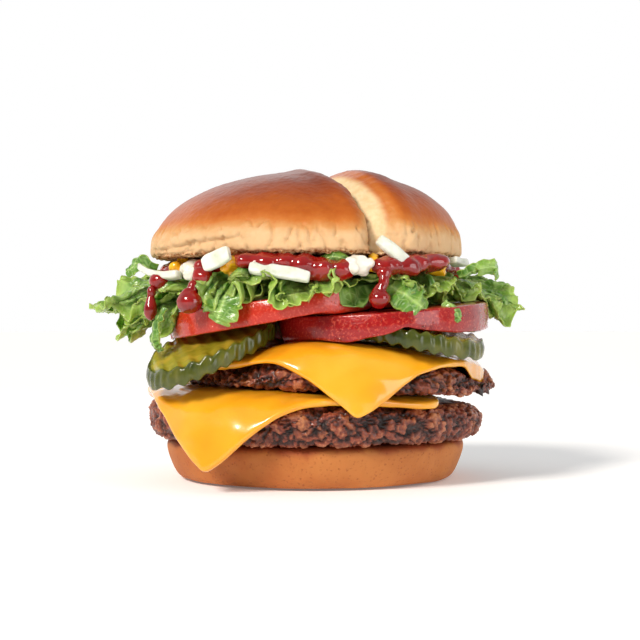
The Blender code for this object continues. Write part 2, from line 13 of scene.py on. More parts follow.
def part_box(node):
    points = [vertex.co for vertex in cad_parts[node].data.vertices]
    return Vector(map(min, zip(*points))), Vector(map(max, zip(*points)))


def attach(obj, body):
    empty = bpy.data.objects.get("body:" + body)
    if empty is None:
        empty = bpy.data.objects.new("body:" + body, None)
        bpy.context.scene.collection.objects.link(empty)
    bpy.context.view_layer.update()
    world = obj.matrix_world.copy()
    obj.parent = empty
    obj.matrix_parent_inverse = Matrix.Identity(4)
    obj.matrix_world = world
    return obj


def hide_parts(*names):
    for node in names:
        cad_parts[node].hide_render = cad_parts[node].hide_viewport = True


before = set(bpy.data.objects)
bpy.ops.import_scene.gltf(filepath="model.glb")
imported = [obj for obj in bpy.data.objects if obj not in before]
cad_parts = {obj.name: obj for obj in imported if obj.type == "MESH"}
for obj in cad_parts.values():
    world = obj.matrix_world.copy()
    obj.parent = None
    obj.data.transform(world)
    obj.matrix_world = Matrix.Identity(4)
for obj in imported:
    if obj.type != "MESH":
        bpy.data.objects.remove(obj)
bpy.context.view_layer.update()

mm = 0.001


# small maths

def smoothStep(value, low=0.0, high=1.0):
    # 0 at low, 1 at high, whichever of the two is larger
    share = min(max((value - low) / (high - low), 0.0), 1.0)
    return share * share * (3.0 - 2.0 * share)


def bell(value, width):
    return math.exp(-((value / width) ** 2))


def fineNoise(point, size, octaves=2):
    # roughly -1 to 1, with lumps about size mm across
    total, weight = 0.0, 1.0
    for octave in range(octaves):
        total += weight * noise.noise(point * (2 ** octave / size) + Vector((7.3, 1.9, 4.1)) * octave)
        weight *= 0.5
    return total


# colours and nodes

def linear(hexColour):
    parts = [int(hexColour[place:place + 2], 16) / 255 for place in (1, 3, 5)]
    return tuple(part / 12.92 if part <= 0.04045 else ((part + 0.055) / 1.055) ** 2.4 for part in parts) + (1.0,)


def addNode(tree, kind, inputs=(), stops=None, **settings):
    node = tree.nodes.new(kind)
    for key, value in settings.items():
        setattr(node, key, value)
    if stops:  # a colour ramp's (position, hex colour) pairs
        ramp = node.color_ramp.elements
        while len(ramp) < len(stops):
            ramp.new(1.0)
        for element, (position, colour) in zip(ramp, stops):
            element.position = position
            element.color = linear(colour)
    for socket, value in dict(inputs).items():
        if isinstance(value, bpy.types.NodeSocket):
            tree.links.new(value, node.inputs[socket])
        else:
            node.inputs[socket].default_value = value
    return node


def cellsPerMetre(sizeMm):
    return 1.0 / (sizeMm * mm)


def newMaterial(name, values):
    material = bpy.data.materials.new(name)
    material.use_nodes = True
    shader = material.node_tree.nodes["Principled BSDF"]
    for socket, value in values.items():
        shader.inputs[socket].default_value = value
    return material, material.node_tree, shader


# meshes

def cageOf(nodeName):
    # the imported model's own mesh, in millimetres, with its triangles paired into quads again
    bm = bmesh.new()
    bm.from_mesh(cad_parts[nodeName].data)
    bmesh.ops.scale(bm, vec=(1 / mm, 1 / mm, 1 / mm), verts=bm.verts)
    bmesh.ops.remove_doubles(bm, verts=bm.verts, dist=0.001)
    bmesh.ops.join_triangles(
        bm, faces=bm.faces, angle_face_threshold=math.radians(70), angle_shape_threshold=math.radians(70)
    )
    return bm


def withModifiers(bm, *steps):
    mesh = bpy.data.meshes.new("work")
    bm.to_mesh(mesh)
    bm.free()
    work = bpy.data.objects.new("work", mesh)
    bpy.context.scene.collection.objects.link(work)
    for kind, settings in steps:
        modifier = work.modifiers.new(kind, kind)
        for key, value in settings.items():
            setattr(modifier, key, value)
    result = bmesh.new()
    result.from_object(work, bpy.context.evaluated_depsgraph_get())
    bpy.data.objects.remove(work)
    bpy.data.meshes.remove(mesh)
    return result


def swell(bm, amount):
    # amount(vert) is how far, in mm, a point moves along its normal
    bm.normal_update()
    moves = [vert.normal * amount(vert) for vert in bm.verts]
    for vert, move in zip(bm.verts, moves):
        vert.co += move


def treeOf(bm):
    return BVHTree.FromBMesh(bm)


def creased(bm, degrees, crease):
    layer = bm.edges.layers.float.new("crease_edge")
    for edge in bm.edges:
        if len(edge.link_faces) == 2 and edge.calc_face_angle() > math.radians(degrees):
            edge[layer] = crease
    return bm


def titleOf(nodeName):
    # pickle_left becomes pickleLeft
    first, *rest = nodeName.split("_")
    return first + "".join(word.title() for word in rest)


def addPiece(name, bm, material, nodes=()):
    bmesh.ops.scale(bm, vec=(mm, mm, mm), verts=bm.verts)
    mesh = bpy.data.meshes.new(name)
    bm.to_mesh(mesh)
    bm.free()
    mesh.materials.append(material)
    mesh.shade_smooth()
    piece = bpy.data.objects.new(name, mesh)
    bpy.context.scene.collection.objects.link(piece)
    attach(piece, "root")
    if nodes:
        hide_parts(*nodes)
    print("made", name, len(mesh.vertices), "points")
    return piece


# camera and light

camera = {
    "place": (1.65, -480.0, 51.2),  # mm, level with the middle of the burger
    "lens": 81.8,
    "sensor": 36.0,
}
light = {
    "backdrop": 1.0,  # white wall behind the burger
    "ceiling": 0.4,
    "room": 0.2,  # the dim room behind the camera
    "sun": 2.45,  # large far key on the left of the camera, even over the whole floor
    "sunSpread": 16.0,  # degrees
    "key": 0.5,  # soft box, high on the left of the camera
    "fill": 0.95,  # soft box, low on the right of the camera
    "rim": 0.22,  # strip light, above and behind
}


def addLight(name, place, target, size, watts, colour="#FFFFFF"):
    lamp = bpy.data.lights.new(name, "AREA")
    lamp.shape = "RECTANGLE"
    lamp.size, lamp.size_y = size[0] * mm, size[1] * mm
    lamp.energy = watts
    lamp.color = linear(colour)[:3]
    holder = bpy.data.objects.new(name, lamp)
    holder.location = Vector(place) * mm
    holder.rotation_euler = (Vector(target) - Vector(place)).to_track_quat("-Z", "Y").to_euler()
    bpy.context.scene.collection.objects.link(holder)


def buildStudio():
    eye = bpy.data.cameras.new("camera")
    eye.lens, eye.sensor_width, eye.clip_start = camera["lens"], camera["sensor"], 0.01
    holder = bpy.data.objects.new("camera", eye)
    holder.location = Vector(camera["place"]) * mm
    holder.rotation_euler = (math.radians(90), 0.0, 0.0)
    bpy.context.scene.collection.objects.link(holder)
    bpy.context.scene.camera = holder

    world = bpy.data.worlds.new("whiteRoom")
    world.use_nodes = True
    tree = world.node_tree
    place = addNode(tree, "ShaderNodeTexCoord")
    axes = addNode(tree, "ShaderNodeSeparateXYZ", {0: place.outputs["Generated"]})
    behind = addNode(
        tree, "ShaderNodeMapRange",
        {"Value": axes.outputs["Y"], "From Min": -0.5, "From Max": 0.5, "To Min": light["room"],
         "To Max": light["backdrop"]},
        interpolation_type="SMOOTHSTEP",
    )
    height = addNode(tree, "ShaderNodeMapRange", {"Value": axes.outputs["Z"], "From Min": 0.3, "From Max": 0.9})
    glow = addNode(
        tree, "ShaderNodeMix", {0: height.outputs[0], 2: behind.outputs[0], 3: light["ceiling"]}, data_type="FLOAT"
    )
    tree.links.new(glow.outputs[0], tree.nodes["Background"].inputs["Strength"])
    tree.nodes["Background"].inputs["Color"].default_value = (1.0, 1.0, 1.0, 1.0)
    bpy.context.scene.world = world
    bpy.context.scene.view_settings.view_transform = "Standard"

    lamp = bpy.data.lights.new("sunLight", "SUN")
    lamp.energy, lamp.angle = light["sun"], math.radians(light["sunSpread"])
    lamp.color = linear("#FFF9F0")[:3]
    sun = bpy.data.objects.new("sunLight", lamp)
    sun.rotation_euler = Vector((0.55, 0.62, -0.62)).to_track_quat("-Z", "Y").to_euler()
    bpy.context.scene.collection.objects.link(sun)
    addLight("keyLight", (-260, -420, 300), (0, 0, 55), (60, 90), light["key"], "#FFF8EE")
    addLight("fillLight", (420, -380, 160), (0, 0, 55), (280, 320), light["fill"])
    addLight("rimLight", (-160, 380, 330), (0, 0, 70), (420, 120), light["rim"])

    # opal acrylic table: matt, nearly white, lit faintly from below
    paper, tree, shader = newMaterial(
        "opalAcrylicTable", {"Roughness": 1.0, "IOR": 1.45, "Specular IOR Level": 0.0, "Emission Strength": 0.11}
    )
    shader.inputs["Emission Color"].default_value = (1.0, 1.0, 1.0, 1.0)
    spots = addNode(tree, "ShaderNodeTexNoise", {"Scale": cellsPerMetre(40), "Detail": 2.0})
    tint = addNode(tree, "ShaderNodeValToRGB", {"Fac": spots.outputs["Fac"]}, stops=[(0.3, "#FCFCFC"), (0.7, "#FEFEFE")])
    tree.links.new(tint.outputs["Color"], shader.inputs["Base Color"])
    bm = bmesh.new()
    bmesh.ops.create_grid(bm, x_segments=2, y_segments=2, size=6.0)
    mesh = bpy.data.meshes.new("floor")
    bm.to_mesh(mesh)
    bm.free()
    mesh.materials.append(paper)
    floor = bpy.data.objects.new("floor", mesh)
    floor.location.z = -0.0002
    bpy.context.scene.collection.objects.link(floor)


buildStudio()
print("studio ready")


# the bun

crownShape = {
    "radius": 50.6,
    "centre": (-3.0, 0.0),
    "cut": 71.0,  # height of the flat cut face
    "waist": 73.5,  # height of the widest level
    "top": 99.6,
    "shoulder": 0.83,  # under 1 fills the right lobe's shoulder out
    "grooveStart": (19.0, -48.0),  # the split starts at the front rim here
    "groovePoint": (2.0, 4.0),  # and passes over this point of the top
    "grooveBend": 4.2,
    "grooveDepth": 5.6,
    "crackDepth": 2.6,
    "tornWidth": 5.4,  # bare, torn crumb on the right wall of the split
    "segments": 600,
    "rings": 150,
    "dimple": 0.08,
}


def grooveDistance(x, y):
    # how far right of the split a point lies, and how far along it from the front rim
    start = Vector(crownShape["grooveStart"])
    along = (Vector(crownShape["groovePoint"]) - start).normalized()
    gap = Vector((x, y)) - start
    gap.x += crownShape["grooveBend"] * smoothStep(y, start.y, start.y + 36.0)  # it bends left towards the top
    return gap.dot(Vector((along.y, -along.x))), gap.dot(along)


def crownPoint(share, turn):
    # a point of the plain dome, share 0 at the top and 1 at the middle of the cut face
    shape = crownShape
    domeShare = 0.78  # of the rings lie on the dome, the rest turn under to the cut face
    fullness = 1.0 - (1.0 - shape["shoulder"]) * smoothStep(math.cos(turn), 0.1, 0.9)
    if share <= domeShare:
        angle = 0.5 * math.pi * share / domeShare
        radius = shape["radius"] * math.sin(angle) ** fullness
        return radius, shape["waist"] + (shape["top"] - shape["waist"]) * max(math.cos(angle), 0.0) ** fullness
    under = (share - domeShare) / (1.0 - domeShare)
    angle = min(under / 0.6, 1.0) * 0.5 * math.pi
    inward = max(under - 0.6, 0.0) / 0.4
    radius = (shape["radius"] - 2.4 * (1.0 - math.cos(angle))) * (1.0 - inward)
    return radius, shape["waist"] - (shape["waist"] - shape["cut"]) * math.sin(angle)


def buildCrown(material):
    shape = crownShape
    bm = bmesh.new()
    bmesh.ops.create_uvsphere(bm, u_segments=shape["segments"], v_segments=shape["rings"], radius=1.0)
    bake = bm.verts.layers.float.new("bake")
    torn = bm.verts.layers.float.new("torn")
    toast = bm.verts.layers.float.new("toast")
    dark = bm.verts.layers.float.new("dark")
    heart = Vector((0.0, 0.0, shape["cut"]))
    for vert in bm.verts:
        share = math.acos(max(-1.0, min(1.0, vert.co.z))) / math.pi
        turn = math.atan2(vert.co.y, vert.co.x)
        degrees = math.degrees(turn) % 360.0
        flat = Vector((math.cos(turn), math.sin(turn), 0.0))
        radius, height = crownPoint(share, turn)
        point = flat * radius + Vector((0.0, 0.0, height))
        x, y = point.x + shape["centre"][0], point.y + shape["centre"][1]
        here = Vector((x, y, point.z))
        right, along = grooveDistance(x, y)
        right += 0.6 * fineNoise(here, 6.0) + 0.25 * fineNoise(here, 1.8)
        onDome = smoothStep(point.z, shape["cut"] - 0.2, shape["cut"] + 1.0)
        # the left lobe rolls over steeply, the right wall rises slowly to its own lip
        if right < 0.0:
            depth = shape["grooveDepth"] * math.exp(-((-right / 2.6) ** 1.35)) - 0.9 * bell(right + 6.5, 4.0)
        else:
            depth = shape["grooveDepth"] * (1.0 - smoothStep(right, 0.0, 10.5)) - 1.5 * bell(right - 12.0, 6.0)
        lowHalf = 1.0 - smoothStep(along, 16.0, 26.0)
        crack = bell(right, 0.55) * (0.25 + 0.75 * lowHalf) * smoothStep(noise.noise(here * 0.3), -0.5, 0.1)
        depth += shape["crackDepth"] * crack
        spoke = point - heart
        point = heart + spoke * (1.0 - onDome * depth / max(spoke.length, 1.0))
        level = (height - shape["cut"]) / (shape["top"] - shape["cut"])
        # the crease round the left front, where the crust rolls over the pale side
        crease = 73.2 + 2.6 * smoothStep(degrees, 205, 246)
        onLeft = smoothStep(degrees, 190, 210) * (1.0 - smoothStep(degrees, 238, 256))
        rise = height - crease - 0.4 * fineNoise(here, 7.0)
        fold = -1.1 * bell(rise, 0.55) + 0.6 * bell(rise - 2.0, 1.5) - 0.8 * smoothStep(-rise, 0.0, 0.7)
        point += flat * onLeft * fold * onDome
        # looks: browned crust, bare torn crumb, toasted rim of the cut face
        patch = 0.05 * fineNoise(here, 18.0) + 0.03 * fineNoise(here, 5.0)
        browned = 0.62 * smoothStep(level + 0.7 * patch, 0.17, 0.47) + 0.38 * smoothStep(level + patch, 0.4, 0.95)
        bare = smoothStep(right, -1.0, 0.2) * (1.0 - smoothStep(right, shape["tornWidth"] - 1.0, shape["tornWidth"] + 1.6))
        amber = bell(right - shape["tornWidth"] - 2.2, 2.0)
        nearSplit = smoothStep(right, -5.5, -0.6) * (1.0 - smoothStep(right, 0.0, 1.0)) * smoothStep(level, 0.75, 0.35)
        browned *= (1.0 - bare) * (1.0 - 0.45 * amber) * (1.0 - 0.9 * nearSplit)
        point.x += shape["centre"][0]
        point.y += shape["centre"][1]
        vert.co = point
        vert[bake] = browned
        vert[torn] = bare
        vert[toast] = smoothStep(-height, -(shape["cut"] + 1.6 + 0.9 * fineNoise(here, 3.0)), -(shape["cut"] + 0.3))
        # painted shade: the crack's depth also darkens the crust colour along it
        vert[dark] = min(crack * 1.3, 1.0)

    def relief(vert):
        bareHere, rim = vert[torn], vert[toast]
        lift = shape["dimple"] * fineNoise(vert.co, 1.5) * (1.0 - bareHere)
        lift += bareHere * (0.30 * fineNoise(vert.co, 3.4, 3) + 0.10 * fineNoise(vert.co, 1.0))
        pale = (1.0 - smoothStep(vert[bake], 0.1, 0.5)) * (1.0 - bareHere) * (1.0 - rim)
        # soft vertical wrinkles and puckers where the side stayed pale
        drawn = Vector((vert.co.x, vert.co.y, vert.co.z * 0.45))
        pucker = abs(noise.noise(drawn / 4.2)) + 0.5 * abs(noise.noise(drawn / 1.9))
        lift += pale * (0.55 - 1.2 * bell(pucker, 0.16))
        lift += 0.28 * fineNoise(vert.co, 15.0)
        lift += rim * (0.75 * fineNoise(vert.co, 1.9) + 0.45 * fineNoise(vert.co, 0.8) - 0.2)
        return lift

    swell(bm, relief)
    return addPiece("crown", bm, material, ["bun_crown"])


heelShape = {
    "levels": 3,
    "pore": 1.1,  # mm between pores
    "soakDepth": 3.2,  # how far the darker band reaches down from the top rim
}


def buildHeel(material):
    bm = withModifiers(cageOf("bun_heel"), ("SUBSURF", {"levels": heelShape["levels"]}))
    soak = bm.verts.layers.float.new("soak")
    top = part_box("bun_heel")[1].z / mm
    for vert in bm.verts:
        flat = vert.co.xy.length
        # how far down from the top rim the darker band reaches here, ragged along the rim
        drip = heelShape["soakDepth"] * (0.75 + 0.9 * noise.noise(Vector((vert.co.x, vert.co.y, 0.0)) * 0.16))
        drip += 1.4 * max(noise.noise(Vector((vert.co.x, vert.co.y, 3.0)) * 0.45), 0.0)
        vert[soak] = smoothStep(vert.co.z, top - drip - 0.8, top - 0.4 * drip) if flat > 30 else 1.0
    swell(bm, lambda vert: (0.25 * fineNoise(vert.co, 11.0) if vert.co.z > 0.4 else 0.0))
    return addPiece("heel", bm, material, ["bun_heel"])



def crustMaterial():
    # Enriched white dough, washed with egg and baked: a thin, satin, dimpled skin that runs from
    # chestnut on top through amber to cream at the sides, with dull torn crumb in the split.
    material, tree, shader = newMaterial(
        "eggWashedBunCrust",
        {"IOR": 1.45, "Subsurface Weight": 0.08, "Subsurface Scale": 2.0 * mm, "Specular IOR Level": 0.22},
    )
    place = addNode(tree, "ShaderNodeTexCoord")
    bake = addNode(tree, "ShaderNodeAttribute", attribute_name="bake")
    torn = addNode(tree, "ShaderNodeAttribute", attribute_name="torn")
    toast = addNode(tree, "ShaderNodeAttribute", attribute_name="toast")
    mottle = addNode(
        tree, "ShaderNodeTexNoise",
        {"Vector": place.outputs["Object"], "Scale": cellsPerMetre(2.4), "Detail": 4.0, "Roughness": 0.6},
    )
    shift = addNode(tree, "ShaderNodeMath", {0: mottle.outputs["Fac"], 1: 0.2, 2: -0.1}, operation="MULTIPLY_ADD")
    depth = addNode(tree, "ShaderNodeMath", {0: bake.outputs["Fac"], 1: shift.outputs[0]}, operation="ADD")
    crust = addNode(
        tree, "ShaderNodeValToRGB", {"Fac": depth.outputs[0]},
        stops=[(0.0, "#D8B184"), (0.2, "#CB9258"), (0.42, "#C07030"), (0.62, "#AE581C"), (0.82, "#934113"), (1.0, "#722C0D")],
    )
    crumb = addNode(tree, "ShaderNodeValToRGB", {"Fac": mottle.outputs["Fac"]}, stops=[(0.3, "#DDBE8E"), (0.7, "#EBD3A8")])
    bare = addNode(
        tree, "ShaderNodeMix", {0: torn.outputs["Fac"], 6: crust.outputs["Color"], 7: crumb.outputs["Color"]},
        data_type="RGBA",
    )
    crumbs = addNode(
        tree, "ShaderNodeTexNoise", {"Vector": place.outputs["Object"], "Scale": cellsPerMetre(0.9), "Detail": 3.0}
    )
    specks = addNode(
        tree, "ShaderNodeMapRange",
        {"Value": crumbs.outputs["Fac"], "From Min": 0.42, "From Max": 0.6, "To Min": 0.0, "To Max": 1.0},
    )
    scorch = addNode(tree, "ShaderNodeMath", {0: toast.outputs["Fac"], 1: specks.outputs[0]}, operation="MULTIPLY")
    toasted = addNode(
        tree, "ShaderNodeMix", {0: scorch.outputs[0], 6: bare.outputs[2], 7: linear("#9A5A2A")}, data_type="RGBA"
    )
    # painted shade down the crack of the split: a darker brown mixed over the crust there
    cleft = addNode(tree, "ShaderNodeAttribute", attribute_name="dark")
    deep = addNode(
        tree, "ShaderNodeMix", {0: cleft.outputs["Fac"], 6: toasted.outputs[2], 7: linear("#8A5228")}, data_type="RGBA"
    )
    # crust is smoothest where it browned most, the crumb and the pale side are dull
    gloss = addNode(
        tree, "ShaderNodeMapRange",
        {"Value": bake.outputs["Fac"], "From Min": 0.05, "From Max": 0.6, "To Min": 0.62, "To Max": 0.36},
    )
    pores = addNode(
        tree, "ShaderNodeTexNoise",
        {"Vector": place.outputs["Object"], "Scale": cellsPerMetre(1.0), "Detail": 3.0, "Roughness": 0.55},
    )
    bump = addNode(
        tree, "ShaderNodeBump", {"Height": pores.outputs["Fac"], "Strength": 0.35, "Distance": 0.25 * mm}
    )
    tree.links.new(deep.outputs[2], shader.inputs["Base Color"])
    tree.links.new(gloss.outputs[0], shader.inputs["Roughness"])
    tree.links.new(bump.outputs["Normal"], shader.inputs["Normal"])
    return material


def heelMaterial():
    # The same dough baked on its tray: dull and tan, with painted shade in pores about a millimetre apart,
    # and darker red-brown in a ragged band along the top rim, right under the patty.
    material, tree, shader = newMaterial(
        "trayBakedHeelCrust", {"Roughness": 0.68, "IOR": 1.42, "Subsurface Weight": 0.06, "Subsurface Scale": 2.0 * mm}
    )
    place = addNode(tree, "ShaderNodeTexCoord")
    soak = addNode(tree, "ShaderNodeAttribute", attribute_name="soak")
    broad = addNode(
        tree, "ShaderNodeTexNoise", {"Vector": place.outputs["Object"], "Scale": cellsPerMetre(16), "Detail": 5.0}
    )
    pores = addNode(
        tree, "ShaderNodeTexVoronoi",
        {"Vector": place.outputs["Object"], "Scale": cellsPerMetre(heelShape["pore"]), "Randomness": 1.0},
    )
    grain = addNode(
        tree, "ShaderNodeTexNoise",
        {"Vector": place.outputs["Object"], "Scale": cellsPerMetre(0.9), "Detail": 3.0, "Roughness": 0.65},
    )
    tan = addNode(tree, "ShaderNodeValToRGB", {"Fac": broad.outputs["Fac"]}, stops=[(0.35, "#AE612A"), (0.65, "#C0773A")])
    # pits round the pore centres, sunk by the bump below; they are also painted darker, as painted shade in the pores
    pit = addNode(
        tree, "ShaderNodeMapRange",
        {"Value": pores.outputs["Distance"], "From Min": 0.08, "From Max": 0.42, "To Min": 1.0, "To Max": 0.0},
    )
    speck = addNode(
        tree, "ShaderNodeMapRange",
        {"Value": grain.outputs["Fac"], "From Min": 0.46, "From Max": 0.62, "To Min": 0.0, "To Max": 0.85},
    )
    pitted = addNode(tree, "ShaderNodeMath", {0: pit.outputs[0], 1: speck.outputs[0]}, operation="MULTIPLY")
    # painted shade: the pores darkened to a deeper brown
    dark = addNode(
        tree, "ShaderNodeMix", {0: pitted.outputs[0], 6: tan.outputs["Color"], 7: linear("#94491D")}, data_type="RGBA"
    )
    # darker red-brown in the band along the top rim, right under the patty
    juice = addNode(
        tree, "ShaderNodeMix", {0: soak.outputs["Fac"], 6: dark.outputs[2], 7: linear("#93401A")}, data_type="RGBA"
    )
    bump = addNode(
        tree, "ShaderNodeBump", {"Height": pitted.outputs[0], "Strength": 0.7, "Distance": -0.3 * mm}
    )
    tree.links.new(juice.outputs[2], shader.inputs["Base Color"])
    tree.links.new(bump.outputs["Normal"], shader.inputs["Normal"])
    return material


buildCrown(crustMaterial())
buildHeel(heelMaterial())
print("bun ready")


# the meat

beefShape = {
    "levels": 4,
    "clump": 4.8,  # mm across a broken clump at the rim
    "strand": 2.3,  # mm across a minced strand
    "bit": 1.9,  # mm across the small loose bits
    "grain": 1.0,
    "lift": 1.5,
    # a lump that hangs under the upper patty's right rim: place, reach and depth in mm
    "lump": ((50.0, -16.0, 31.5), 10.0, 3.2),
}


def buildPatty(name, nodeName, seed, material):
    shape = beefShape
    bm = withModifiers(cageOf(nodeName), ("SUBSURF", {"levels": shape["levels"]}))
    raised = bm.verts.layers.float.new("raised")
    tone = bm.verts.layers.float.new("tone")
    low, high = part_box(nodeName)
    middle = (low + high) / 2 / mm
    radius = (high.x - low.x) / 2 / mm
    offset = Vector((seed * 41.0, seed * 23.0, seed * 11.0))

    def grain(vert):
        rim = smoothStep((vert.co.xy - middle.xy).length / radius, 0.80, 0.93)
        point = vert.co + offset
        warp = noise.noise_vector(point * 0.22) * 3.2 + noise.noise_vector(point * 0.7) * 1.0
        near, cells = noise.voronoi((point + warp) / shape["clump"])
        gap = bell(near[1] - near[0], 0.11)
        clump = 1.0 - min(near[0], 1.0) ** 2
        # strands: worms of mince, bent by the warp, each clump with its own lie
        lie = noise.cell_vector(cells[0] * 3.1)
        combed = point + warp * 0.6
        combed = Vector((combed.x + lie.x * combed.z, combed.y + lie.y * combed.x, combed.z * 0.9 + lie.z * combed.y)) * 0.8
        strand = 1.0 - abs(noise.noise(combed / shape["strand"])) * 2.4
        fine = fineNoise(point + warp * 0.3, shape["grain"])
        bits = 1.0 - min(noise.voronoi((point + warp * 0.5) / shape["bit"])[0][0], 1.0) ** 2
        height = 0.5 * clump + 0.4 * strand + 0.32 * bits + 0.22 * fine + 0.55 * fineNoise(point, 9.0) - 0.6 * gap
        # how raised the point is, which the colour ramps turn into painted shade in the low gaps and a painted
        # highlight on the raised grains
        vert[raised] = min(max(0.14 + 0.50 * height, 0.0), 1.0)
        vert[tone] = 0.5 + 0.5 * noise.cell(cells[0] * 7.3)
        return rim * shape["lift"] * (height - 0.75) + (1.0 - rim) * 0.2 * height

    if nodeName == "patty_upper":
        place, reach, depth = shape["lump"]
        for vert in bm.verts:
            vert.co.z -= depth * bell((vert.co - Vector(place)).length, reach) * smoothStep(38.0, 31.0, vert.co.z)
    swell(bm, grain)
    return addPiece(name, bm, material, [nodeName])


def beefMaterial():
    # Coarse minced beef, grilled: brown, broken clumps, redder or tan from clump to clump, with melted fat
    # that glints on the raised grains. Painted shade makes the gaps nearly black, and a painted highlight
    # makes the raised grains pale tan, over the meat's own browns.
    material, tree, shader = newMaterial(
        "grilledMincedBeef",
        {"IOR": 1.45, "Coat Weight": 0.4, "Coat Roughness": 0.09, "Coat IOR": 1.45,
         "Subsurface Weight": 0.05, "Subsurface Scale": 1.0 * mm},
    )
    place = addNode(tree, "ShaderNodeTexCoord")
    raised = addNode(tree, "ShaderNodeAttribute", attribute_name="raised")
    tone = addNode(tree, "ShaderNodeAttribute", attribute_name="tone")
    shreds = addNode(
        tree, "ShaderNodeTexNoise",
        {"Vector": place.outputs["Object"], "Scale": cellsPerMetre(0.9), "Detail": 4.0, "Roughness": 0.65, "Distortion": 0.6},
    )
    shift = addNode(tree, "ShaderNodeMath", {0: shreds.outputs["Fac"], 1: 0.7, 2: -0.35}, operation="MULTIPLY_ADD")
    level = addNode(tree, "ShaderNodeMath", {0: raised.outputs["Fac"], 1: shift.outputs[0]}, operation="ADD")
    # nearly black in the gaps (painted shade) to pale tan on the raised grains (painted highlight), over the clump's
    # own tone
    brown = addNode(
        tree, "ShaderNodeValToRGB", {"Fac": level.outputs[0]},
        stops=[(0.12, "#1C0A05"), (0.34, "#471D10"), (0.56, "#7D3B20"), (0.85, "#B67445")],
    )
    reddish = addNode(
        tree, "ShaderNodeValToRGB", {"Fac": level.outputs[0]},
        stops=[(0.12, "#180805"), (0.34, "#4A1A10"), (0.56, "#893B24"), (0.85, "#C6815A")],
    )
    blend = addNode(
        tree, "ShaderNodeMix", {0: tone.outputs["Fac"], 6: brown.outputs["Color"], 7: reddish.outputs["Color"]},
        data_type="RGBA",
    )
    wet = addNode(
        tree, "ShaderNodeMapRange",
        {"Value": shreds.outputs["Fac"], "From Min": 0.35, "From Max": 0.65, "To Min": 0.34, "To Max": 0.7},
    )
    bump = addNode(
        tree, "ShaderNodeBump", {"Height": shreds.outputs["Fac"], "Strength": 0.7, "Distance": 0.5 * mm}
    )
    tree.links.new(blend.outputs[2], shader.inputs["Base Color"])
    tree.links.new(wet.outputs[0], shader.inputs["Roughness"])
    tree.links.new(bump.outputs["Normal"], shader.inputs["Normal"])
    return material


beef = beefMaterial()
buildPatty("pattyLower", "patty_lower", 1, beef)
buildPatty("pattyUpper", "patty_upper", 2, beef)
print("meat ready")


# the cheese

cheeseShape = {
    "levels": 4,
    "crease": 0.3,  # how square the slice's rim stays
    "sag": (13.0, 0.5),  # size and height of the soft swells in a melted slice
    "streak": (4.6, 0.2),
    "tip": (46.0, 3.4),  # the upper slice's right corner hangs down past this x, by this much
}


def buildCheese(name, nodeName, material):
    cage = creased(cageOf(nodeName), 50, cheeseShape["crease"])
    bm = withModifiers(cage, ("SUBSURF", {"levels": cheeseShape["levels"]}))
    size, height = cheeseShape["sag"]
    fine, streak = cheeseShape["streak"]
    swell(bm, lambda vert: height * noise.noise(vert.co / size) + streak * noise.noise(vert.co / fine))
    start, fall = cheeseShape["tip"]
    for vert in bm.verts:
        if nodeName == "cheese_upper" and vert.normal.z < 0.35:
            vert.co.z -= fall * smoothStep(vert.co.x, start, start + 6.0)
        if nodeName == "cheese_upper":
            vert.co.x -= 0.4 * max(vert.co.x - start, 0.0)
    return addPiece(name, bm, material, [nodeName])


def cheeseMaterial():
    # Melted processed cheddar: smooth and oily with a soft inner glow, a little paler and deeper in
    # broad patches.
    material, tree, shader = newMaterial(
        "meltedProcessedCheddar",
        {"Roughness": 0.2, "IOR": 1.46, "Subsurface Weight": 0.18, "Subsurface Scale": 3.0 * mm,
         "Coat Weight": 0.5, "Coat Roughness": 0.04},
    )
    shader.inputs["Subsurface Radius"].default_value = (1.0, 0.5, 0.12)
    place = addNode(tree, "ShaderNodeTexCoord")
    cloud = addNode(
        tree, "ShaderNodeTexNoise", {"Vector": place.outputs["Object"], "Scale": cellsPerMetre(22), "Detail": 2.0}
    )
    yellow = addNode(
        tree, "ShaderNodeValToRGB", {"Fac": cloud.outputs["Fac"]}, stops=[(0.3, "#E99616"), (0.55, "#F1A61F"), (0.75, "#F7B434")]
    )
    skin = addNode(
        tree, "ShaderNodeTexNoise", {"Vector": place.outputs["Object"], "Scale": cellsPerMetre(5), "Detail": 2.0}
    )
    bump = addNode(tree, "ShaderNodeBump", {"Height": skin.outputs["Fac"], "Strength": 0.12, "Distance": 0.6 * mm})
    tree.links.new(yellow.outputs["Color"], shader.inputs["Base Color"])
    tree.links.new(bump.outputs["Normal"], shader.inputs["Normal"])
    tree.links.new(bump.outputs["Normal"], shader.inputs["Coat Normal"])
    return material


cheddar = cheeseMaterial()
buildCheese("cheeseLower", "cheese_lower", cheddar)
buildCheese("cheeseUpper", "cheese_upper", cheddar)
print("cheese ready")


# the pickles

pickleShape = {
    "thickness": 5.3,
    "pitch": 4.1,  # mm from wave to wave of the crinkle cutter
    "wave": (0.16, 0.5),  # height of the waves in the soft middle and in the firm skin
    "groove": 0.22,
    "bulge": 0.4,
    "turns": {"pickle_left": 12.0, "pickle_right": -8.0, "pickle_back_left": 70.0, "pickle_back_right": 112.0},
}


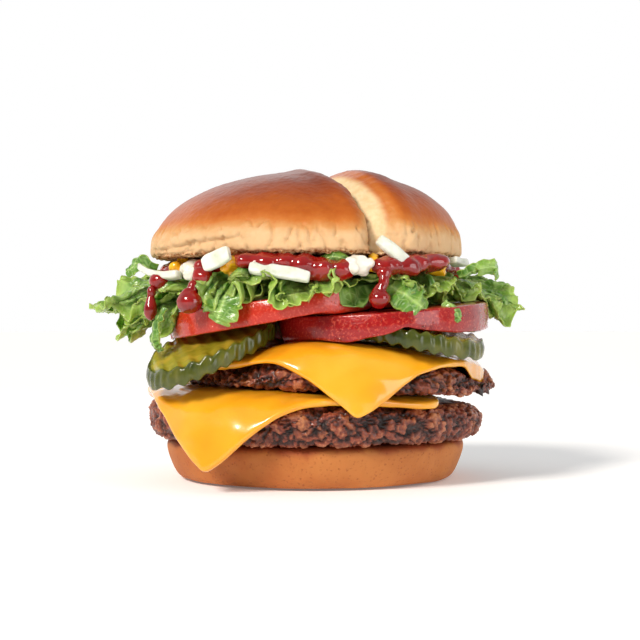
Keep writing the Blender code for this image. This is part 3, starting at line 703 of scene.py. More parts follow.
def buildPickle(nodeName, turn, material):
    shape = pickleShape
    cage = cageOf(nodeName)
    points = np.array([vert.co[:] for vert in cage.verts])
    cage.free()
    centre = (points.min(0) + points.max(0)) / 2
    reach = (points.max(0) - points.min(0)) / 2
    dx, dy = points[:, 0] - centre[0], points[:, 1] - centre[1]
    terms = np.c_[np.ones(len(dx)), dx, dy, dx * dx, dx * dy, dy * dy]
    bend = np.linalg.lstsq(terms, points[:, 2], rcond=None)[0]  # the slice's own soft bend

    def middleHeight(x, y):
        return float(np.dot(bend, (1.0, x, y, x * x, x * y, y * y)))

    bm = bmesh.new()
    bmesh.ops.create_grid(bm, x_segments=150, y_segments=44, size=1.0)
    rim = bm.verts.layers.float.new("rim")
    spin = Matrix.Rotation(math.radians(turn), 2)
    for vert in bm.verts:
        s, t = vert.co.x, vert.co.y
        flat = Vector((s * math.sqrt(1.0 - 0.5 * t * t), t * math.sqrt(1.0 - 0.5 * s * s)))
        vert[rim] = smoothStep(flat.length, 0.93, 0.985)
        soft, firm = shape["wave"]
        height = soft + (firm - soft) * smoothStep(flat.length, 0.7, 0.95)
        wave = height * math.cos(math.tau * flat.x * reach[0] / shape["pitch"])
        wobble = 1.0 + 0.015 * noise.noise(Vector((flat.x * 3, flat.y * 3, turn)))
        flat = spin @ flat * wobble
        x, y = flat.x * reach[0], flat.y * reach[1]
        vert.co = (x + centre[0], y + centre[1], middleHeight(x, y) + wave - shape["thickness"] / 2)
    upper = bmesh.ops.extrude_face_region(bm, geom=bm.faces[:])["geom"]
    upper = [item for item in upper if isinstance(item, bmesh.types.BMVert)]
    bmesh.ops.translate(bm, vec=(0.0, 0.0, shape["thickness"]), verts=upper)
    bmesh.ops.recalc_face_normals(bm, faces=bm.faces)
    above = set(upper)
    sides = [edge for edge in bm.edges if (edge.verts[0] in above) != (edge.verts[1] in above)]
    cut = bmesh.ops.subdivide_edges(bm, edges=sides, cuts=7, use_grid_fill=True)
    for item in cut["geom_inner"]:
        if isinstance(item, bmesh.types.BMVert):
            spoke = Vector((item.co.x - centre[0], item.co.y - centre[1], 0.0)).normalized()
            level = (item.co.z - middleHeight(item.co.x - centre[0], item.co.y - centre[1])) / shape["thickness"]
            arc = math.atan2(spoke.y, spoke.x) * (reach[0] + reach[1]) / 2
            ridge = shape["groove"] * math.cos(math.tau * arc / (0.8 * shape["pitch"]))
            item.co += spoke * (shape["bulge"] + ridge) * max(1.0 - (2.0 * level) ** 2, 0.3)
            item[rim] = 1.0
    swell(bm, lambda vert: 0.10 * fineNoise(vert.co, 2.2))
    return addPiece(titleOf(nodeName), bm, material, [nodeName])


def pickleMaterial():
    # Cucumber cured in brine: wet, glassy yellow-green flesh inside a darker olive skin.
    material, tree, shader = newMaterial(
        "brinedCucumber",
        {"Roughness": 0.26, "IOR": 1.4, "Subsurface Weight": 0.25, "Subsurface Scale": 2.5 * mm,
         "Coat Weight": 0.3, "Coat Roughness": 0.04},
    )
    shader.inputs["Subsurface Radius"].default_value = (0.8, 1.0, 0.25)
    place = addNode(tree, "ShaderNodeTexCoord")
    rim = addNode(tree, "ShaderNodeAttribute", attribute_name="rim")
    patch = addNode(
        tree, "ShaderNodeTexNoise", {"Vector": place.outputs["Object"], "Scale": cellsPerMetre(7), "Detail": 3.0}
    )
    flesh = addNode(
        tree, "ShaderNodeValToRGB", {"Fac": patch.outputs["Fac"]}, stops=[(0.3, "#8C861E"), (0.55, "#A2962A"), (0.72, "#BCA034")]
    )
    skin = addNode(
        tree, "ShaderNodeValToRGB", {"Fac": patch.outputs["Fac"]}, stops=[(0.3, "#303C0A"), (0.5, "#4A5010"), (0.75, "#6C681C")]
    )
    colour = addNode(
        tree, "ShaderNodeMix", {0: rim.outputs["Fac"], 6: flesh.outputs["Color"], 7: skin.outputs["Color"]}, data_type="RGBA"
    )
    pimple = addNode(
        tree, "ShaderNodeTexNoise", {"Vector": place.outputs["Object"], "Scale": cellsPerMetre(1.6), "Detail": 2.0}
    )
    bump = addNode(tree, "ShaderNodeBump", {"Height": pimple.outputs["Fac"], "Strength": 0.25, "Distance": 0.3 * mm})
    tree.links.new(colour.outputs[2], shader.inputs["Base Color"])
    tree.links.new(bump.outputs["Normal"], shader.inputs["Normal"])
    return material


pickleSkin = pickleMaterial()
for nodeName, turn in pickleShape["turns"].items():
    buildPickle(nodeName, turn, pickleSkin)
print("pickles ready")


# the tomatoes

tomatoShape = {
    "levels": 3,
    "crease": 0.6,  # how sharp the edge between skin and cut face stays
    "below": {"tomato_left": ["tomato_right"], "tomato_right": ["cheese_upper"]},
    "sag": 4.5,  # mm, the widest gap that closes under a soft slice
    "ease": 14,
    "droplets": {"tomato_right": 800, "tomato_left": 450},
    "dropletSize": (0.12, 0.36),
}


def settle(bm, below, limit):
    # sinks the underside onto the layers below, where it hangs just above them
    trees = [treeOf(cageOf(nodeName)) for nodeName in below]
    down = Vector((0.0, 0.0, -1.0))
    bm.verts.index_update()
    sinks = [0.0] * len(bm.verts)
    for vert in bm.verts:
        hits = [tree.ray_cast(vert.co - down, down)[0] for tree in trees]
        heights = [spot.z for spot in hits if spot is not None]
        if vert.normal.z < -0.25 and heights:
            gap = vert.co.z - max(heights)
            sinks[vert.index] = max(gap, 0.0) * smoothStep(limit - gap, 0.0, 0.45 * limit)
    for _ in range(tomatoShape["ease"]):
        sinks = [
            (sinks[vert.index] + sum(sinks[edge.other_vert(vert).index] for edge in vert.link_edges))
            / (1 + len(vert.link_edges))
            for vert in bm.verts
        ]
    for vert in bm.verts:
        vert.co.z -= sinks[vert.index]


def buildTomato(name, nodeName, material):
    cage = creased(cageOf(nodeName), 24, tomatoShape["crease"])
    bm = withModifiers(cage, ("SUBSURF", {"levels": tomatoShape["levels"]}))
    swell(bm, lambda vert: 0.2 * fineNoise(vert.co, 9.0) + 0.04 * fineNoise(vert.co, 1.6))
    settle(bm, tomatoShape["below"][nodeName], tomatoShape["sag"])
    faces = [
        (face.calc_center_median(), face.normal.copy(), face.calc_area())
        for face in bm.faces
        if abs(face.normal.z) < 0.75
    ]
    addPiece(name, bm, material, [nodeName])
    return faces


def buildDroplets(places, material):
    dice = random.Random(5)
    bm = bmesh.new()
    low, high = tomatoShape["dropletSize"]
    for faces, count in places:
        weights = [area for _centre, _normal, area in faces]
        for centre, normal, _area in dice.choices(faces, weights=weights, k=count):
            size = low + (high - low) * dice.random() ** 3
            jitter = Vector((dice.uniform(-0.7, 0.7), dice.uniform(-0.7, 0.7), dice.uniform(-0.7, 0.7)))
            jitter -= normal * jitter.dot(normal)
            matrix = Matrix.Translation(centre + jitter + normal * 0.05 * size)
            matrix = matrix @ normal.to_track_quat("Z", "Y").to_matrix().to_4x4()
            matrix = matrix @ Matrix.Diagonal((size, size, size * 0.75, 1.0))
            bmesh.ops.create_icosphere(bm, subdivisions=2, radius=1.0, matrix=matrix)
    return addPiece("tomatoDroplets", bm, material)


def tomatoMaterial(name, stops):
    # Ripe tomato, freshly cut: wet, tight, deep red, with fine pale specks painted in for the sparkle of the wet
    # surface: painted highlights.
    material, tree, shader = newMaterial(
        name,
        {"Roughness": 0.2, "IOR": 1.36, "Subsurface Weight": 0.22, "Subsurface Scale": 2.0 * mm,
         "Coat Weight": 0.5, "Coat Roughness": 0.05},
    )
    shader.inputs["Subsurface Radius"].default_value = (1.0, 0.25, 0.12)
    place = addNode(tree, "ShaderNodeTexCoord")
    cloud = addNode(
        tree, "ShaderNodeTexNoise", {"Vector": place.outputs["Object"], "Scale": cellsPerMetre(12), "Detail": 3.0}
    )
    red = addNode(tree, "ShaderNodeValToRGB", {"Fac": cloud.outputs["Fac"]}, stops=stops)
    speckle = addNode(
        tree, "ShaderNodeTexNoise",
        {"Vector": place.outputs["Object"], "Scale": cellsPerMetre(0.8), "Detail": 2.0, "Roughness": 0.6},
    )
    spot = addNode(
        tree, "ShaderNodeMapRange",
        {"Value": speckle.outputs["Fac"], "From Min": 0.52, "From Max": 0.7, "To Min": 0.0, "To Max": 0.5},
    )
    # pale specks mixed into the red: painted highlights standing in for the wet surface's sparkle
    colour = addNode(
        tree, "ShaderNodeMix", {0: spot.outputs[0], 6: red.outputs["Color"], 7: linear("#E4644A")}, data_type="RGBA"
    )
    bump = addNode(tree, "ShaderNodeBump", {"Height": speckle.outputs["Fac"], "Strength": 0.5, "Distance": 0.25 * mm})
    tree.links.new(colour.outputs[2], shader.inputs["Base Color"])
    tree.links.new(bump.outputs["Normal"], shader.inputs["Normal"])
    return material


def waterMaterial():
    # Plain water: clear beads that catch the lamps.
    material, tree, shader = newMaterial(
        "waterBeads", {"Roughness": 0.02, "IOR": 1.33, "Transmission Weight": 1.0}
    )
    tint = addNode(tree, "ShaderNodeTexNoise", {"Scale": cellsPerMetre(3)})
    pale = addNode(tree, "ShaderNodeValToRGB", {"Fac": tint.outputs["Fac"]}, stops=[(0.0, "#FFEFEF"), (1.0, "#FFFFFF")])
    tree.links.new(pale.outputs["Color"], shader.inputs["Base Color"])
    return material


# one tomato in two tints: the left slice lighter and more orange, the right slice deeper red; the difference is partly
# the slices' own tone and partly painted light and shade for how brightly each is lit
orangeRed = tomatoMaterial("ripeTomatoFlesh", [(0.3, "#B02312"), (0.55, "#C02E19"), (0.75, "#CE4227")])
deepRed = tomatoMaterial("ripeTomatoSkin", [(0.3, "#820A0D"), (0.55, "#990F10"), (0.75, "#AA1A18")])
leftFaces = buildTomato("tomatoLeft", "tomato_left", orangeRed)
rightFaces = buildTomato("tomatoRight", "tomato_right", deepRed)
buildDroplets(
    [(leftFaces, tomatoShape["droplets"]["tomato_left"]), (rightFaces, tomatoShape["droplets"]["tomato_right"])],
    waterMaterial(),
)
print("tomatoes ready")


# the lettuce

leafShape = {
    "thickness": 0.36,
    "step": 0.42,  # mm between the points of a leaf's mesh
    "fold": (21.0, 1.9),  # length and swing of the broad folds
    "frill": (9.4, 2.2),  # of the ruffles towards the edge
    "curl": (2.7, 0.6),  # of the small curls at the very edge
    "blister": (3.6, 0.65),  # size and height of the bulges between the veins
    "tooth": (5.0, 3.6),  # length and depth of the teeth of the edge
    "vein": 11.0,  # mm between the side veins
}
# each leaf's own seed
leaves = {
    "lettuce_left_low": 3, "lettuce_front_low": 5, "lettuce_left": 8, "lettuce_front": 11,
    "lettuce_front_right": 14, "lettuce_right": 17, "lettuce_back": 21,
}
# the second sheet of each leaf, folded back under it: share of its reach, drop at the edge, seed
underleaf = (0.93, 2.6, 40)
# the leaves whose edge hangs lower or reaches less far: share of the reach, drop at the edge in mm
hanging = {
    "lettuce_left": (0.99, 3.6), "lettuce_left_low": (0.97, 2.4), "lettuce_right": (0.965, 1.6),
    "lettuce_front": (1.0, 0.6),
}


def heightAt(tree, radius, turn):
    start = Vector((radius * math.cos(turn), radius * math.sin(turn), 200.0))
    hit = tree.ray_cast(start, Vector((0.0, 0.0, -1.0)))[0]
    return None if hit is None else hit.z


def readLeaf(nodeName):
    # the leaf's own surface: where it starts and ends, and how far it reaches each way
    cage = cageOf(nodeName)
    tree = treeOf(cage)
    total = sum((vert.co for vert in cage.verts), Vector())
    middle = math.atan2(total.y, total.x)
    swings = [(math.atan2(vert.co.y, vert.co.x) - middle + math.pi) % math.tau - math.pi for vert in cage.verts]
    inner = min(vert.co.xy.length for vert in cage.verts)
    cage.free()
    first, last = min(swings), max(swings)
    reaches = []
    for step in range(97):
        turn = middle + first + (last - first) * (0.01 + 0.98 * step / 96)
        radius = 90.0
        while radius > inner and heightAt(tree, radius, turn) is None:
            radius -= 0.4
        reaches.append(radius)
    return tree, middle, first, last, inner, reaches


def keepAbove(point, trees, gap):
    # lifts a point out of the slices under it
    for tree in trees:
        hit = tree.ray_cast(Vector((point.x, point.y, 200.0)), Vector((0.0, 0.0, -1.0)))[0]
        if hit is not None and point.z < hit.z + gap:
            point.z = hit.z + gap


def leafSheet(bm, outLayer, veinLayer, leaf, seed, share, drop, slices):
    look = leafShape
    tree, middle, first, last, inner, reaches = leaf
    offset = Vector((seed * 13.1, seed * 7.7, seed * 3.3))
    columns = int((last - first) * 56.0 / look["step"])
    rows = int((max(reaches) - inner) * 1.1 / look["step"])
    sheet = bmesh.new()
    bmesh.ops.create_grid(sheet, x_segments=columns, y_segments=rows, size=1.0)
    place = []
    for vert in sheet.verts:
        across, out = (vert.co.x + 1.0) / 2.0, (vert.co.y + 1.0) / 2.0
        turn = middle + last + (first - last) * across
        station = (1.0 - across) * 96
        before = min(int(station), 95)
        reach = reaches[before] + (reaches[before + 1] - reaches[before]) * (station - before)
        arc = (turn - middle) * 56.0
        toothSize, tooth = look["tooth"]
        along = Vector((arc, 0.0, 0.0)) + offset
        spikes = abs(noise.noise(along / toothSize)) + 0.5 * abs(noise.noise(along / (0.4 * toothSize)))
        edge = reach * share + tooth * (0.35 - spikes) + 0.8 * fineNoise(along, 9.0)
        edge -= (edge - inner) * 0.22 * abs(2.0 * across - 1.0) ** 8
        radius = inner + (edge - inner) * out
        height, inward = heightAt(tree, radius, turn), radius
        while height is None and inward > inner:
            inward -= 0.8
            height = heightAt(tree, inward, turn)
        height = (62.5 if height is None else height) - drop * smoothStep(out, 0.35, 1.0)
        vert.co = (radius * math.cos(turn), radius * math.sin(turn), height)
        place.append((arc, out, turn))
    for _ in range(12):
        bmesh.ops.smooth_vert(sheet, verts=sheet.verts, factor=0.5, use_axis_z=True)
    sheet.normal_update()
    facing = 1.0 if sum(face.normal.z for face in sheet.faces) > 0 else -1.0
    if facing < 0:
        bmesh.ops.reverse_faces(sheet, faces=sheet.faces)
        sheet.normal_update()
    moves, looks = [], []
    for vert, (arc, out, turn) in zip(sheet.verts, place):
        normal = vert.normal
        side = Vector((-math.sin(turn), math.cos(turn), 0.0))
        point = vert.co + offset
        foldLength, fold = look["fold"]
        frillLength, frill = look["frill"]
        curlLength, curl = look["curl"]
        folded = fold * smoothStep(out, 0.2, 0.9)
        ruffled = frill * smoothStep(out, 0.4, 1.0) ** 1.2
        curled = curl * smoothStep(out, 0.72, 1.0)
        drift = 2.6 * noise.noise(Vector((arc / 16.0, out * 1.8, seed * 1.7)))
        stretch = 1.0 + 0.35 * noise.noise(Vector((arc / 23.0, seed * 3.1, 0.0)))
        foldTurn = math.tau * arc / foldLength + drift
        frillTurn = math.tau * arc * stretch / frillLength + 1.6 * drift + 1.6 * out
        curlTurn = math.tau * arc / curlLength + 3.5 * noise.noise(point * 0.2)
        ruffled *= 0.65 + 0.7 * abs(noise.noise(point * 0.09 + Vector((3.3, 0.0, 0.0))) * 2.0)
        size, blister = look["blister"]
        near = noise.voronoi(point / size + noise.noise_vector(point * 0.3) * 0.4)[0]
        ridge = bell(near[1] - near[0], 0.16)
        rib = abs(math.sin(math.pi * (arc + 5.0 * out * math.sin(arc / 9.0)) / look["vein"]))
        mainVein = (1.0 - rib) ** 8 * smoothStep(out, 1.0, 0.65)
        lift = folded * (0.3 + math.sin(foldTurn)) + ruffled * (0.55 + math.sin(frillTurn))
        lift += curled * math.sin(curlTurn) + blister * (0.5 - ridge) * smoothStep(out, 0.05, 0.4)
        lift += 0.4 * mainVein + 0.5 * fineNoise(point, 9.0)
        moves.append(normal * lift + side * (0.75 * ruffled * math.cos(frillTurn) + 0.6 * curled * math.cos(curlTurn)))
        looks.append((out, max(0.75 * ridge, mainVein)))
    for vert, move in zip(sheet.verts, moves):
        vert.co += move
        keepAbove(vert.co, slices, 0.45)
    copies = []
    for vert, (out, vein) in zip(sheet.verts, looks):
        copy = bm.verts.new(vert.co)
        copy[outLayer], copy[veinLayer] = out, vein
        copies.append(copy)
    sheet.verts.index_update()
    for face in sheet.faces:
        bm.faces.new([copies[vert.index] for vert in face.verts])
    sheet.free()


def buildLeaf(nodeName, seed, slices, material):
    leaf = readLeaf(nodeName)
    bm = bmesh.new()
    layers = bm.verts.layers.float.new("out"), bm.verts.layers.float.new("vein")
    reach, fall = hanging.get(nodeName, (1.0, 0.0))
    leafSheet(bm, *layers, leaf, seed, reach, fall, slices)
    share, drop, shift = underleaf
    leafSheet(bm, *layers, leaf, seed + shift, reach * share, fall + drop, slices)
    bm = withModifiers(bm, ("SOLIDIFY", {"thickness": leafShape["thickness"], "offset": 0.0}))
    return addPiece(titleOf(nodeName), bm, material, [nodeName])


bedShape = {
    "radius": 47.0,  # crumpled leaf that fills the burger between the slices and the sauce
    "level": 63.6,
    "droop": 7.0,  # mm that its edge hangs, down to the slices
    "crumple": (7.5, 2.6),
    "columns": 420,
    "rows": 46,
}


def buildBed(slices, material):
    shape = bedShape
    bm = bmesh.new()
    bmesh.ops.create_grid(bm, x_segments=shape["columns"], y_segments=shape["rows"], size=1.0)
    out = bm.verts.layers.float.new("out")
    vein = bm.verts.layers.float.new("vein")
    size, crumple = shape["crumple"]
    for vert in bm.verts:
        turn = math.pi * vert.co.x * 0.9995
        share = (vert.co.y + 1.0) / 2.0
        flat = Vector((math.cos(turn), math.sin(turn), 0.0))
        radius = 26.0 + (shape["radius"] - 26.0 + 1.6 * fineNoise(flat * 12.0, 1.0)) * share
        point = flat * radius
        warp = noise.noise_vector(point * 0.11) * 3.0
        swing = noise.noise((point + warp) / size) + 0.4 * noise.noise((point - warp) / (0.4 * size))
        point.z = shape["level"] + crumple * 1.5 * swing - shape["droop"] * smoothStep(share, 0.5, 1.0)
        near = noise.voronoi(point / 4.0)[0]
        vert[out] = 0.3 + 0.5 * share
        vert[vein] = 0.6 * bell(near[1] - near[0], 0.14)
        keepAbove(point, slices, 0.4)
        vert.co = point
    bm = withModifiers(bm, ("SOLIDIFY", {"thickness": leafShape["thickness"], "offset": 0.0}))
    return addPiece("lettuceBed", bm, material)


# torn scraps of leaf: the line each one follows in mm, its width, and its seed
scraps = {
    "scrapAtTomato": ([(-47.0, -29.0, 55.0), (-49.4, -31.5, 50.0), (-49.8, -32.5, 44.6), (-47.6, -31.5, 41.5)], 5.5, 61),
    "scrapOnTomato": ([(39.5, -41.0, 57.0), (42.5, -42.4, 54.0), (44.0, -42.0, 51.0)], 4.6, 62),
    "scrapUnderCrown": ([(2.0, -47.0, 69.2), (6.0, -48.6, 70.0), (10.5, -47.0, 68.8)], 3.6, 63),
    "curlAtRight": ([(45.0, -26.0, 64.6), (51.0, -27.0, 67.2), (56.5, -25.0, 67.6), (58.0, -22.0, 65.0)], 5.0, 64),
    "lobeAtLeft": ([(-26.0, -44.5, 60.5), (-27.0, -48.4, 57.0), (-28.0, -49.6, 53.4), (-29.0, -48.8, 50.4)], 12.0, 66),
    "lobeAtRight": ([(22.0, -43.5, 61.5), (26.0, -47.4, 59.4), (30.0, -48.6, 56.4), (33.0, -46.8, 54.0)], 10.0, 67),
    "scrapAtLeft": ([(-50.0, -20.0, 66.8), (-56.0, -20.0, 69.0), (-60.0, -18.0, 66.5)], 6.0, 65),
}


def buildScrap(name, line, width, seed, material):
    points = [Vector(point) for point in line]
    points = [2 * points[0] - points[1]] + points + [2 * points[-1] - points[-2]]
    bm = bmesh.new()
    bmesh.ops.create_grid(bm, x_segments=70, y_segments=18, size=1.0)
    out = bm.verts.layers.float.new("out")
    vein = bm.verts.layers.float.new("vein")
    for vert in bm.verts:
        along, across = (vert.co.x + 1.0) / 2.0, vert.co.y
        span = along * (len(line) - 1) * 0.9999
        before = int(span)
        part = span - before
        a, b, c, d = points[before:before + 4]
        # a smooth line through the given points
        spot = b + (c - a) * (part / 2) + (a * 2 - b * 5 + c * 4 - d) * (part ** 2 / 2)
        spot += (b * 3 - a - c * 3 + d) * (part ** 3 / 2)
        forward = (c - b).normalized()
        side = forward.cross(Vector((spot.x, spot.y, 0.0)).normalized()).normalized()
        face = side.cross(forward)
        taper = 0.35 + 0.65 * math.sin(math.pi * (0.12 + 0.76 * along))
        ragged = 1.0 + 0.35 * noise.noise(Vector((span * 2.2, math.copysign(3.0, across), seed)))
        half = width / 2 * taper * ragged
        ruffle = 0.9 * noise.noise(Vector((span * 1.9, across * 0.8, seed * 1.3)))
        ruffle += 0.5 * noise.noise(Vector((span * 5.0, across * 1.5, seed * 2.1)))
        vert.co = spot + side * across * half + face * (ruffle - 0.9 * across ** 2)
        vert[out] = abs(across)
        vert[vein] = bell(across, 0.12)
    bm = withModifiers(bm, ("SOLIDIFY", {"thickness": leafShape["thickness"], "offset": 0.0}))
    return addPiece(name, bm, material)


def leafMaterial():
    # Green-leaf lettuce: thin, crisp and waxy, bright green with a paler net of veins, yellower towards
    # the frilled edge.
    material, tree, shader = newMaterial(
        "greenLeafLettuce",
        {"Roughness": 0.38, "IOR": 1.42, "Subsurface Weight": 0.35, "Subsurface Scale": 1.5 * mm,
         "Coat Weight": 0.3, "Coat Roughness": 0.1},
    )
    shader.inputs["Subsurface Radius"].default_value = (0.6, 1.0, 0.2)
    place = addNode(tree, "ShaderNodeTexCoord")
    out = addNode(tree, "ShaderNodeAttribute", attribute_name="out")
    vein = addNode(tree, "ShaderNodeAttribute", attribute_name="vein")
    cloud = addNode(
        tree, "ShaderNodeTexNoise", {"Vector": place.outputs["Object"], "Scale": cellsPerMetre(9), "Detail": 3.0}
    )
    green = addNode(
        tree, "ShaderNodeValToRGB", {"Fac": cloud.outputs["Fac"]}, stops=[(0.3, "#335E16"), (0.5, "#568329"), (0.7, "#93B24F")]
    )
    net = addNode(
        tree, "ShaderNodeTexVoronoi",
        {"Vector": place.outputs["Object"], "Scale": cellsPerMetre(3.2)}, feature="DISTANCE_TO_EDGE",
    )
    thread = addNode(
        tree, "ShaderNodeMapRange",
        {"Value": net.outputs["Distance"], "From Min": 0.0, "From Max": 0.09, "To Min": 0.4, "To Max": 0.0},
    )
    lines = addNode(tree, "ShaderNodeMath", {0: thread.outputs[0], 1: vein.outputs["Fac"]}, operation="MAXIMUM")
    veined = addNode(
        tree, "ShaderNodeMix", {0: lines.outputs[0], 6: green.outputs["Color"], 7: linear("#A9C873")}, data_type="RGBA"
    )
    edge = addNode(
        tree, "ShaderNodeMapRange",
        {"Value": out.outputs["Fac"], "From Min": 0.88, "From Max": 1.0, "To Min": 0.0, "To Max": 0.6},
    )
    colour = addNode(
        tree, "ShaderNodeMix", {0: edge.outputs[0], 6: veined.outputs[2], 7: linear("#B2C658")}, data_type="RGBA"
    )
    bump = addNode(tree, "ShaderNodeBump", {"Height": lines.outputs[0], "Strength": 0.4, "Distance": 0.4 * mm})
    tree.links.new(colour.outputs[2], shader.inputs["Base Color"])
    tree.links.new(bump.outputs["Normal"], shader.inputs["Normal"])
    return material


lettuce = leafMaterial()
slices = [treeOf(cageOf("tomato_left")), treeOf(cageOf("tomato_right"))]
for nodeName, seed in leaves.items():
    buildLeaf(nodeName, seed, slices, lettuce)
buildBed(slices, lettuce)
for name, (line, width, seed) in scraps.items():
    buildScrap(name, line, width, seed, lettuce)
print("lettuce ready")


# the sauces

sauceShape = {
    "voxel": 0.6,
    "smooth": 6,
    "rimBlobs": 44,  # soft bulges round the ketchup's rim
    # the dollops that show at the front: place, half width and half height in mm
    "ketchup": [
        (-19.6, -46.0, 68.7, 5.0, 3.0), (-14.6, -46.6, 68.2, 5.6, 3.4), (-8.6, -47.2, 68.6, 4.8, 2.9),
        (-3.4, -47.4, 67.0, 5.6, 4.1), (2.2, -48.4, 66.2, 4.9, 3.9), (7.8, -48.6, 66.0, 4.4, 3.5),
        (21.6, -44.0, 67.5, 5.0, 3.3), (27.6, -41.2, 67.3, 5.2, 3.5), (31.4, -39.4, 68.4, 4.2, 2.6),
        (35.8, -35.4, 68.8, 5.2, 3.0), (-48.4, -23.4, 63.6, 3.6, 3.8), (-34.0, -39.6, 64.2, 3.4, 3.6),
    ],
    # the runs that lead down to the hanging drops
    "runs": {
        "ketchup_blob_left": [(-34.6, -39.4, 67.4, 2.2, 2.2)],
        "ketchup_drop_front_left": [(-36.6, -42.4, 61.0, 1.7, 2.4), (-37.4, -43.0, 56.6, 3.9, 3.6)],
        "ketchup_drop_left": [(-51.0, -25.6, 60.0, 1.5, 2.0), (-51.3, -25.9, 54.4, 2.2, 3.4)],
        "ketchup_drop_right": [
            (20.8, -47.4, 65.2, 2.4, 2.2), (20.6, -48.6, 62.6, 1.7, 2.4), (19.9, -49.0, 60.4, 1.5, 2.0),
            (19.3, -49.0, 57.6, 3.4, 2.7),
        ],
    },
}


def fusedSauce(nodeNames, balls, voxel, smooth):
    bm = bmesh.new()
    for nodeName in nodeNames:
        cage = cageOf(nodeName)
        mesh = bpy.data.meshes.new("work")
        cage.to_mesh(mesh)
        cage.free()
        bm.from_mesh(mesh)
        bpy.data.meshes.remove(mesh)
    for x, y, z, wide, tall in balls:
        matrix = Matrix.Translation((x, y, z)) @ Matrix.Diagonal((wide, wide, tall, 1.0))
        bmesh.ops.create_icosphere(bm, subdivisions=3, radius=1.0, matrix=matrix)
    return withModifiers(
        bm,
        ("REMESH", {"mode": "VOXEL", "voxel_size": voxel}),
        ("SMOOTH", {"factor": 0.5, "iterations": smooth}),
    )


def buildKetchup(material):
    dice = random.Random(11)
    bed = cageOf("ketchup_bed")
    tree = treeOf(bed)
    balls = list(sauceShape["ketchup"])
    for step in range(sauceShape["rimBlobs"]):
        turn = math.tau * (step + dice.uniform(-0.3, 0.3)) / sauceShape["rimBlobs"]
        radius = 60.0
        while radius > 30 and heightAt(tree, radius, turn) is None:
            radius -= 0.3
        size = dice.uniform(3.0, 5.4)
        level = dice.uniform(66.6, 68.4)
        if math.sin(turn) > -0.45:
            x, y = (radius - 0.6 * size) * math.cos(turn), (radius - 0.6 * size) * math.sin(turn)
            balls.append((x, y, level, size, size * dice.uniform(0.5, 0.7)))
    bed.free()
    bm = fusedSauce(["ketchup_bed"], balls, sauceShape["voxel"], sauceShape["smooth"])
    swell(bm, lambda vert: 0.8 * fineNoise(vert.co, 5.5))
    addPiece("ketchupBed", bm, material, ["ketchup_bed"])
    for nodeName, run in sauceShape["runs"].items():
        bm = fusedSauce([nodeName], run, 0.35, 8)
        addPiece(titleOf(nodeName), bm, material, [nodeName])


def buildDollop(nodeName, seed, material):
    low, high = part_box(nodeName)
    centre, half = (low + high) / 2 / mm, (high - low) / 2 / mm
    dice = random.Random(seed)
    balls = []
    for _ in range(7):
        spoke = Vector((dice.gauss(0, 1), dice.gauss(0, 1), dice.gauss(0, 0.7))).normalized()
        x, y, z = (centre[axis] + 0.9 * spoke[axis] * half[axis] for axis in range(3))
        size = dice.uniform(0.5, 0.72) * min(half)
        balls.append((x, y, z, size * 1.3, size))
    bm = fusedSauce([nodeName], balls, 0.3, 7)
    swell(bm, lambda vert: 0.45 * fineNoise(vert.co + Vector((seed, 0.0, 0.0)), 2.8))
    addPiece(titleOf(nodeName), bm, material, [nodeName])


def sauceMaterial(name, stops, roughness, glow, radius):
    # Smooth, wet emulsion or paste: an even colour under a clear, tight gloss.
    material, tree, shader = newMaterial(
        name,
        {"Roughness": roughness, "IOR": 1.42, "Subsurface Weight": glow, "Subsurface Scale": 2.0 * mm,
         "Coat Weight": 0.7, "Coat Roughness": 0.04},
    )
    shader.inputs["Subsurface Radius"].default_value = radius
    place = addNode(tree, "ShaderNodeTexCoord")
    cloud = addNode(
        tree, "ShaderNodeTexNoise", {"Vector": place.outputs["Object"], "Scale": cellsPerMetre(4), "Detail": 3.0}
    )
    colour = addNode(tree, "ShaderNodeValToRGB", {"Fac": cloud.outputs["Fac"]}, stops=stops)
    bump = addNode(tree, "ShaderNodeBump", {"Height": cloud.outputs["Fac"], "Strength": 0.15, "Distance": 0.4 * mm})
    tree.links.new(colour.outputs["Color"], shader.inputs["Base Color"])
    tree.links.new(bump.outputs["Normal"], shader.inputs["Normal"])
    return material


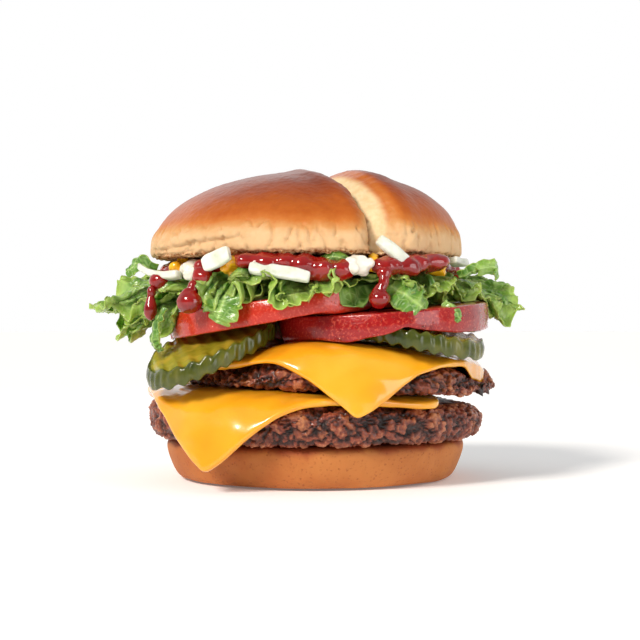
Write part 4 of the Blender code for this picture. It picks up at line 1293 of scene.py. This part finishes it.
buildKetchup(sauceMaterial("tomatoKetchup", [(0.35, "#7C0B0B"), (0.65, "#9A1410")], 0.14, 0.25, (1.0, 0.15, 0.08)))
mustard = sauceMaterial("yellowMustard", [(0.35, "#EBA413"), (0.65, "#F8BE1F")], 0.22, 0.2, (1.0, 0.6, 0.1))
mayonnaise = sauceMaterial("eggMayonnaise", [(0.35, "#E6E0D0"), (0.65, "#F4F0E4")], 0.2, 0.3, (1.0, 0.9, 0.7))
dollops = [
    ("mustard_left", 1), ("mustard_front", 2), ("mustard_front_right", 3), ("mustard_right", 4), ("mustard_back", 5),
    ("mayonnaise_left", 6), ("mayonnaise_front", 7), ("mayonnaise_back", 8),
]
for nodeName, seed in dollops:
    slot = nodeName.split("_")[0]
    buildDollop(nodeName, seed, mustard if slot == "mustard" else mayonnaise)
print("sauces ready")


# the onion

onionShape = {"levels": 3, "crease": 0.36, "bumps": (5.0, 0.3)}


def buildOnion(nodeName, material):
    cage = creased(cageOf(nodeName), 50, onionShape["crease"])
    bm = withModifiers(cage, ("SUBSURF", {"levels": onionShape["levels"]}))
    size, height = onionShape["bumps"]
    swell(bm, lambda vert: height * fineNoise(vert.co, size))
    addPiece(titleOf(nodeName), bm, material, [nodeName])


def onionMaterial():
    # Raw white onion: wet, crisp and half clear, faintly mottled.
    material, tree, shader = newMaterial(
        "rawWhiteOnion",
        {"Roughness": 0.22, "IOR": 1.38, "Subsurface Weight": 0.5, "Subsurface Scale": 2.5 * mm,
         "Coat Weight": 0.3, "Coat Roughness": 0.08},
    )
    shader.inputs["Subsurface Radius"].default_value = (0.9, 1.0, 0.8)
    place = addNode(tree, "ShaderNodeTexCoord")
    cloud = addNode(
        tree, "ShaderNodeTexNoise", {"Vector": place.outputs["Object"], "Scale": cellsPerMetre(3), "Detail": 3.0}
    )
    white = addNode(tree, "ShaderNodeValToRGB", {"Fac": cloud.outputs["Fac"]}, stops=[(0.3, "#CDD3BE"), (0.6, "#E4E6DA")])
    bump = addNode(tree, "ShaderNodeBump", {"Height": cloud.outputs["Fac"], "Strength": 0.15, "Distance": 0.3 * mm})
    tree.links.new(white.outputs["Color"], shader.inputs["Base Color"])
    tree.links.new(bump.outputs["Normal"], shader.inputs["Normal"])
    return material


onion = onionMaterial()
for nodeName in sorted(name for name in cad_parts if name.startswith("onion_")):
    buildOnion(nodeName, onion)
print("onion ready")
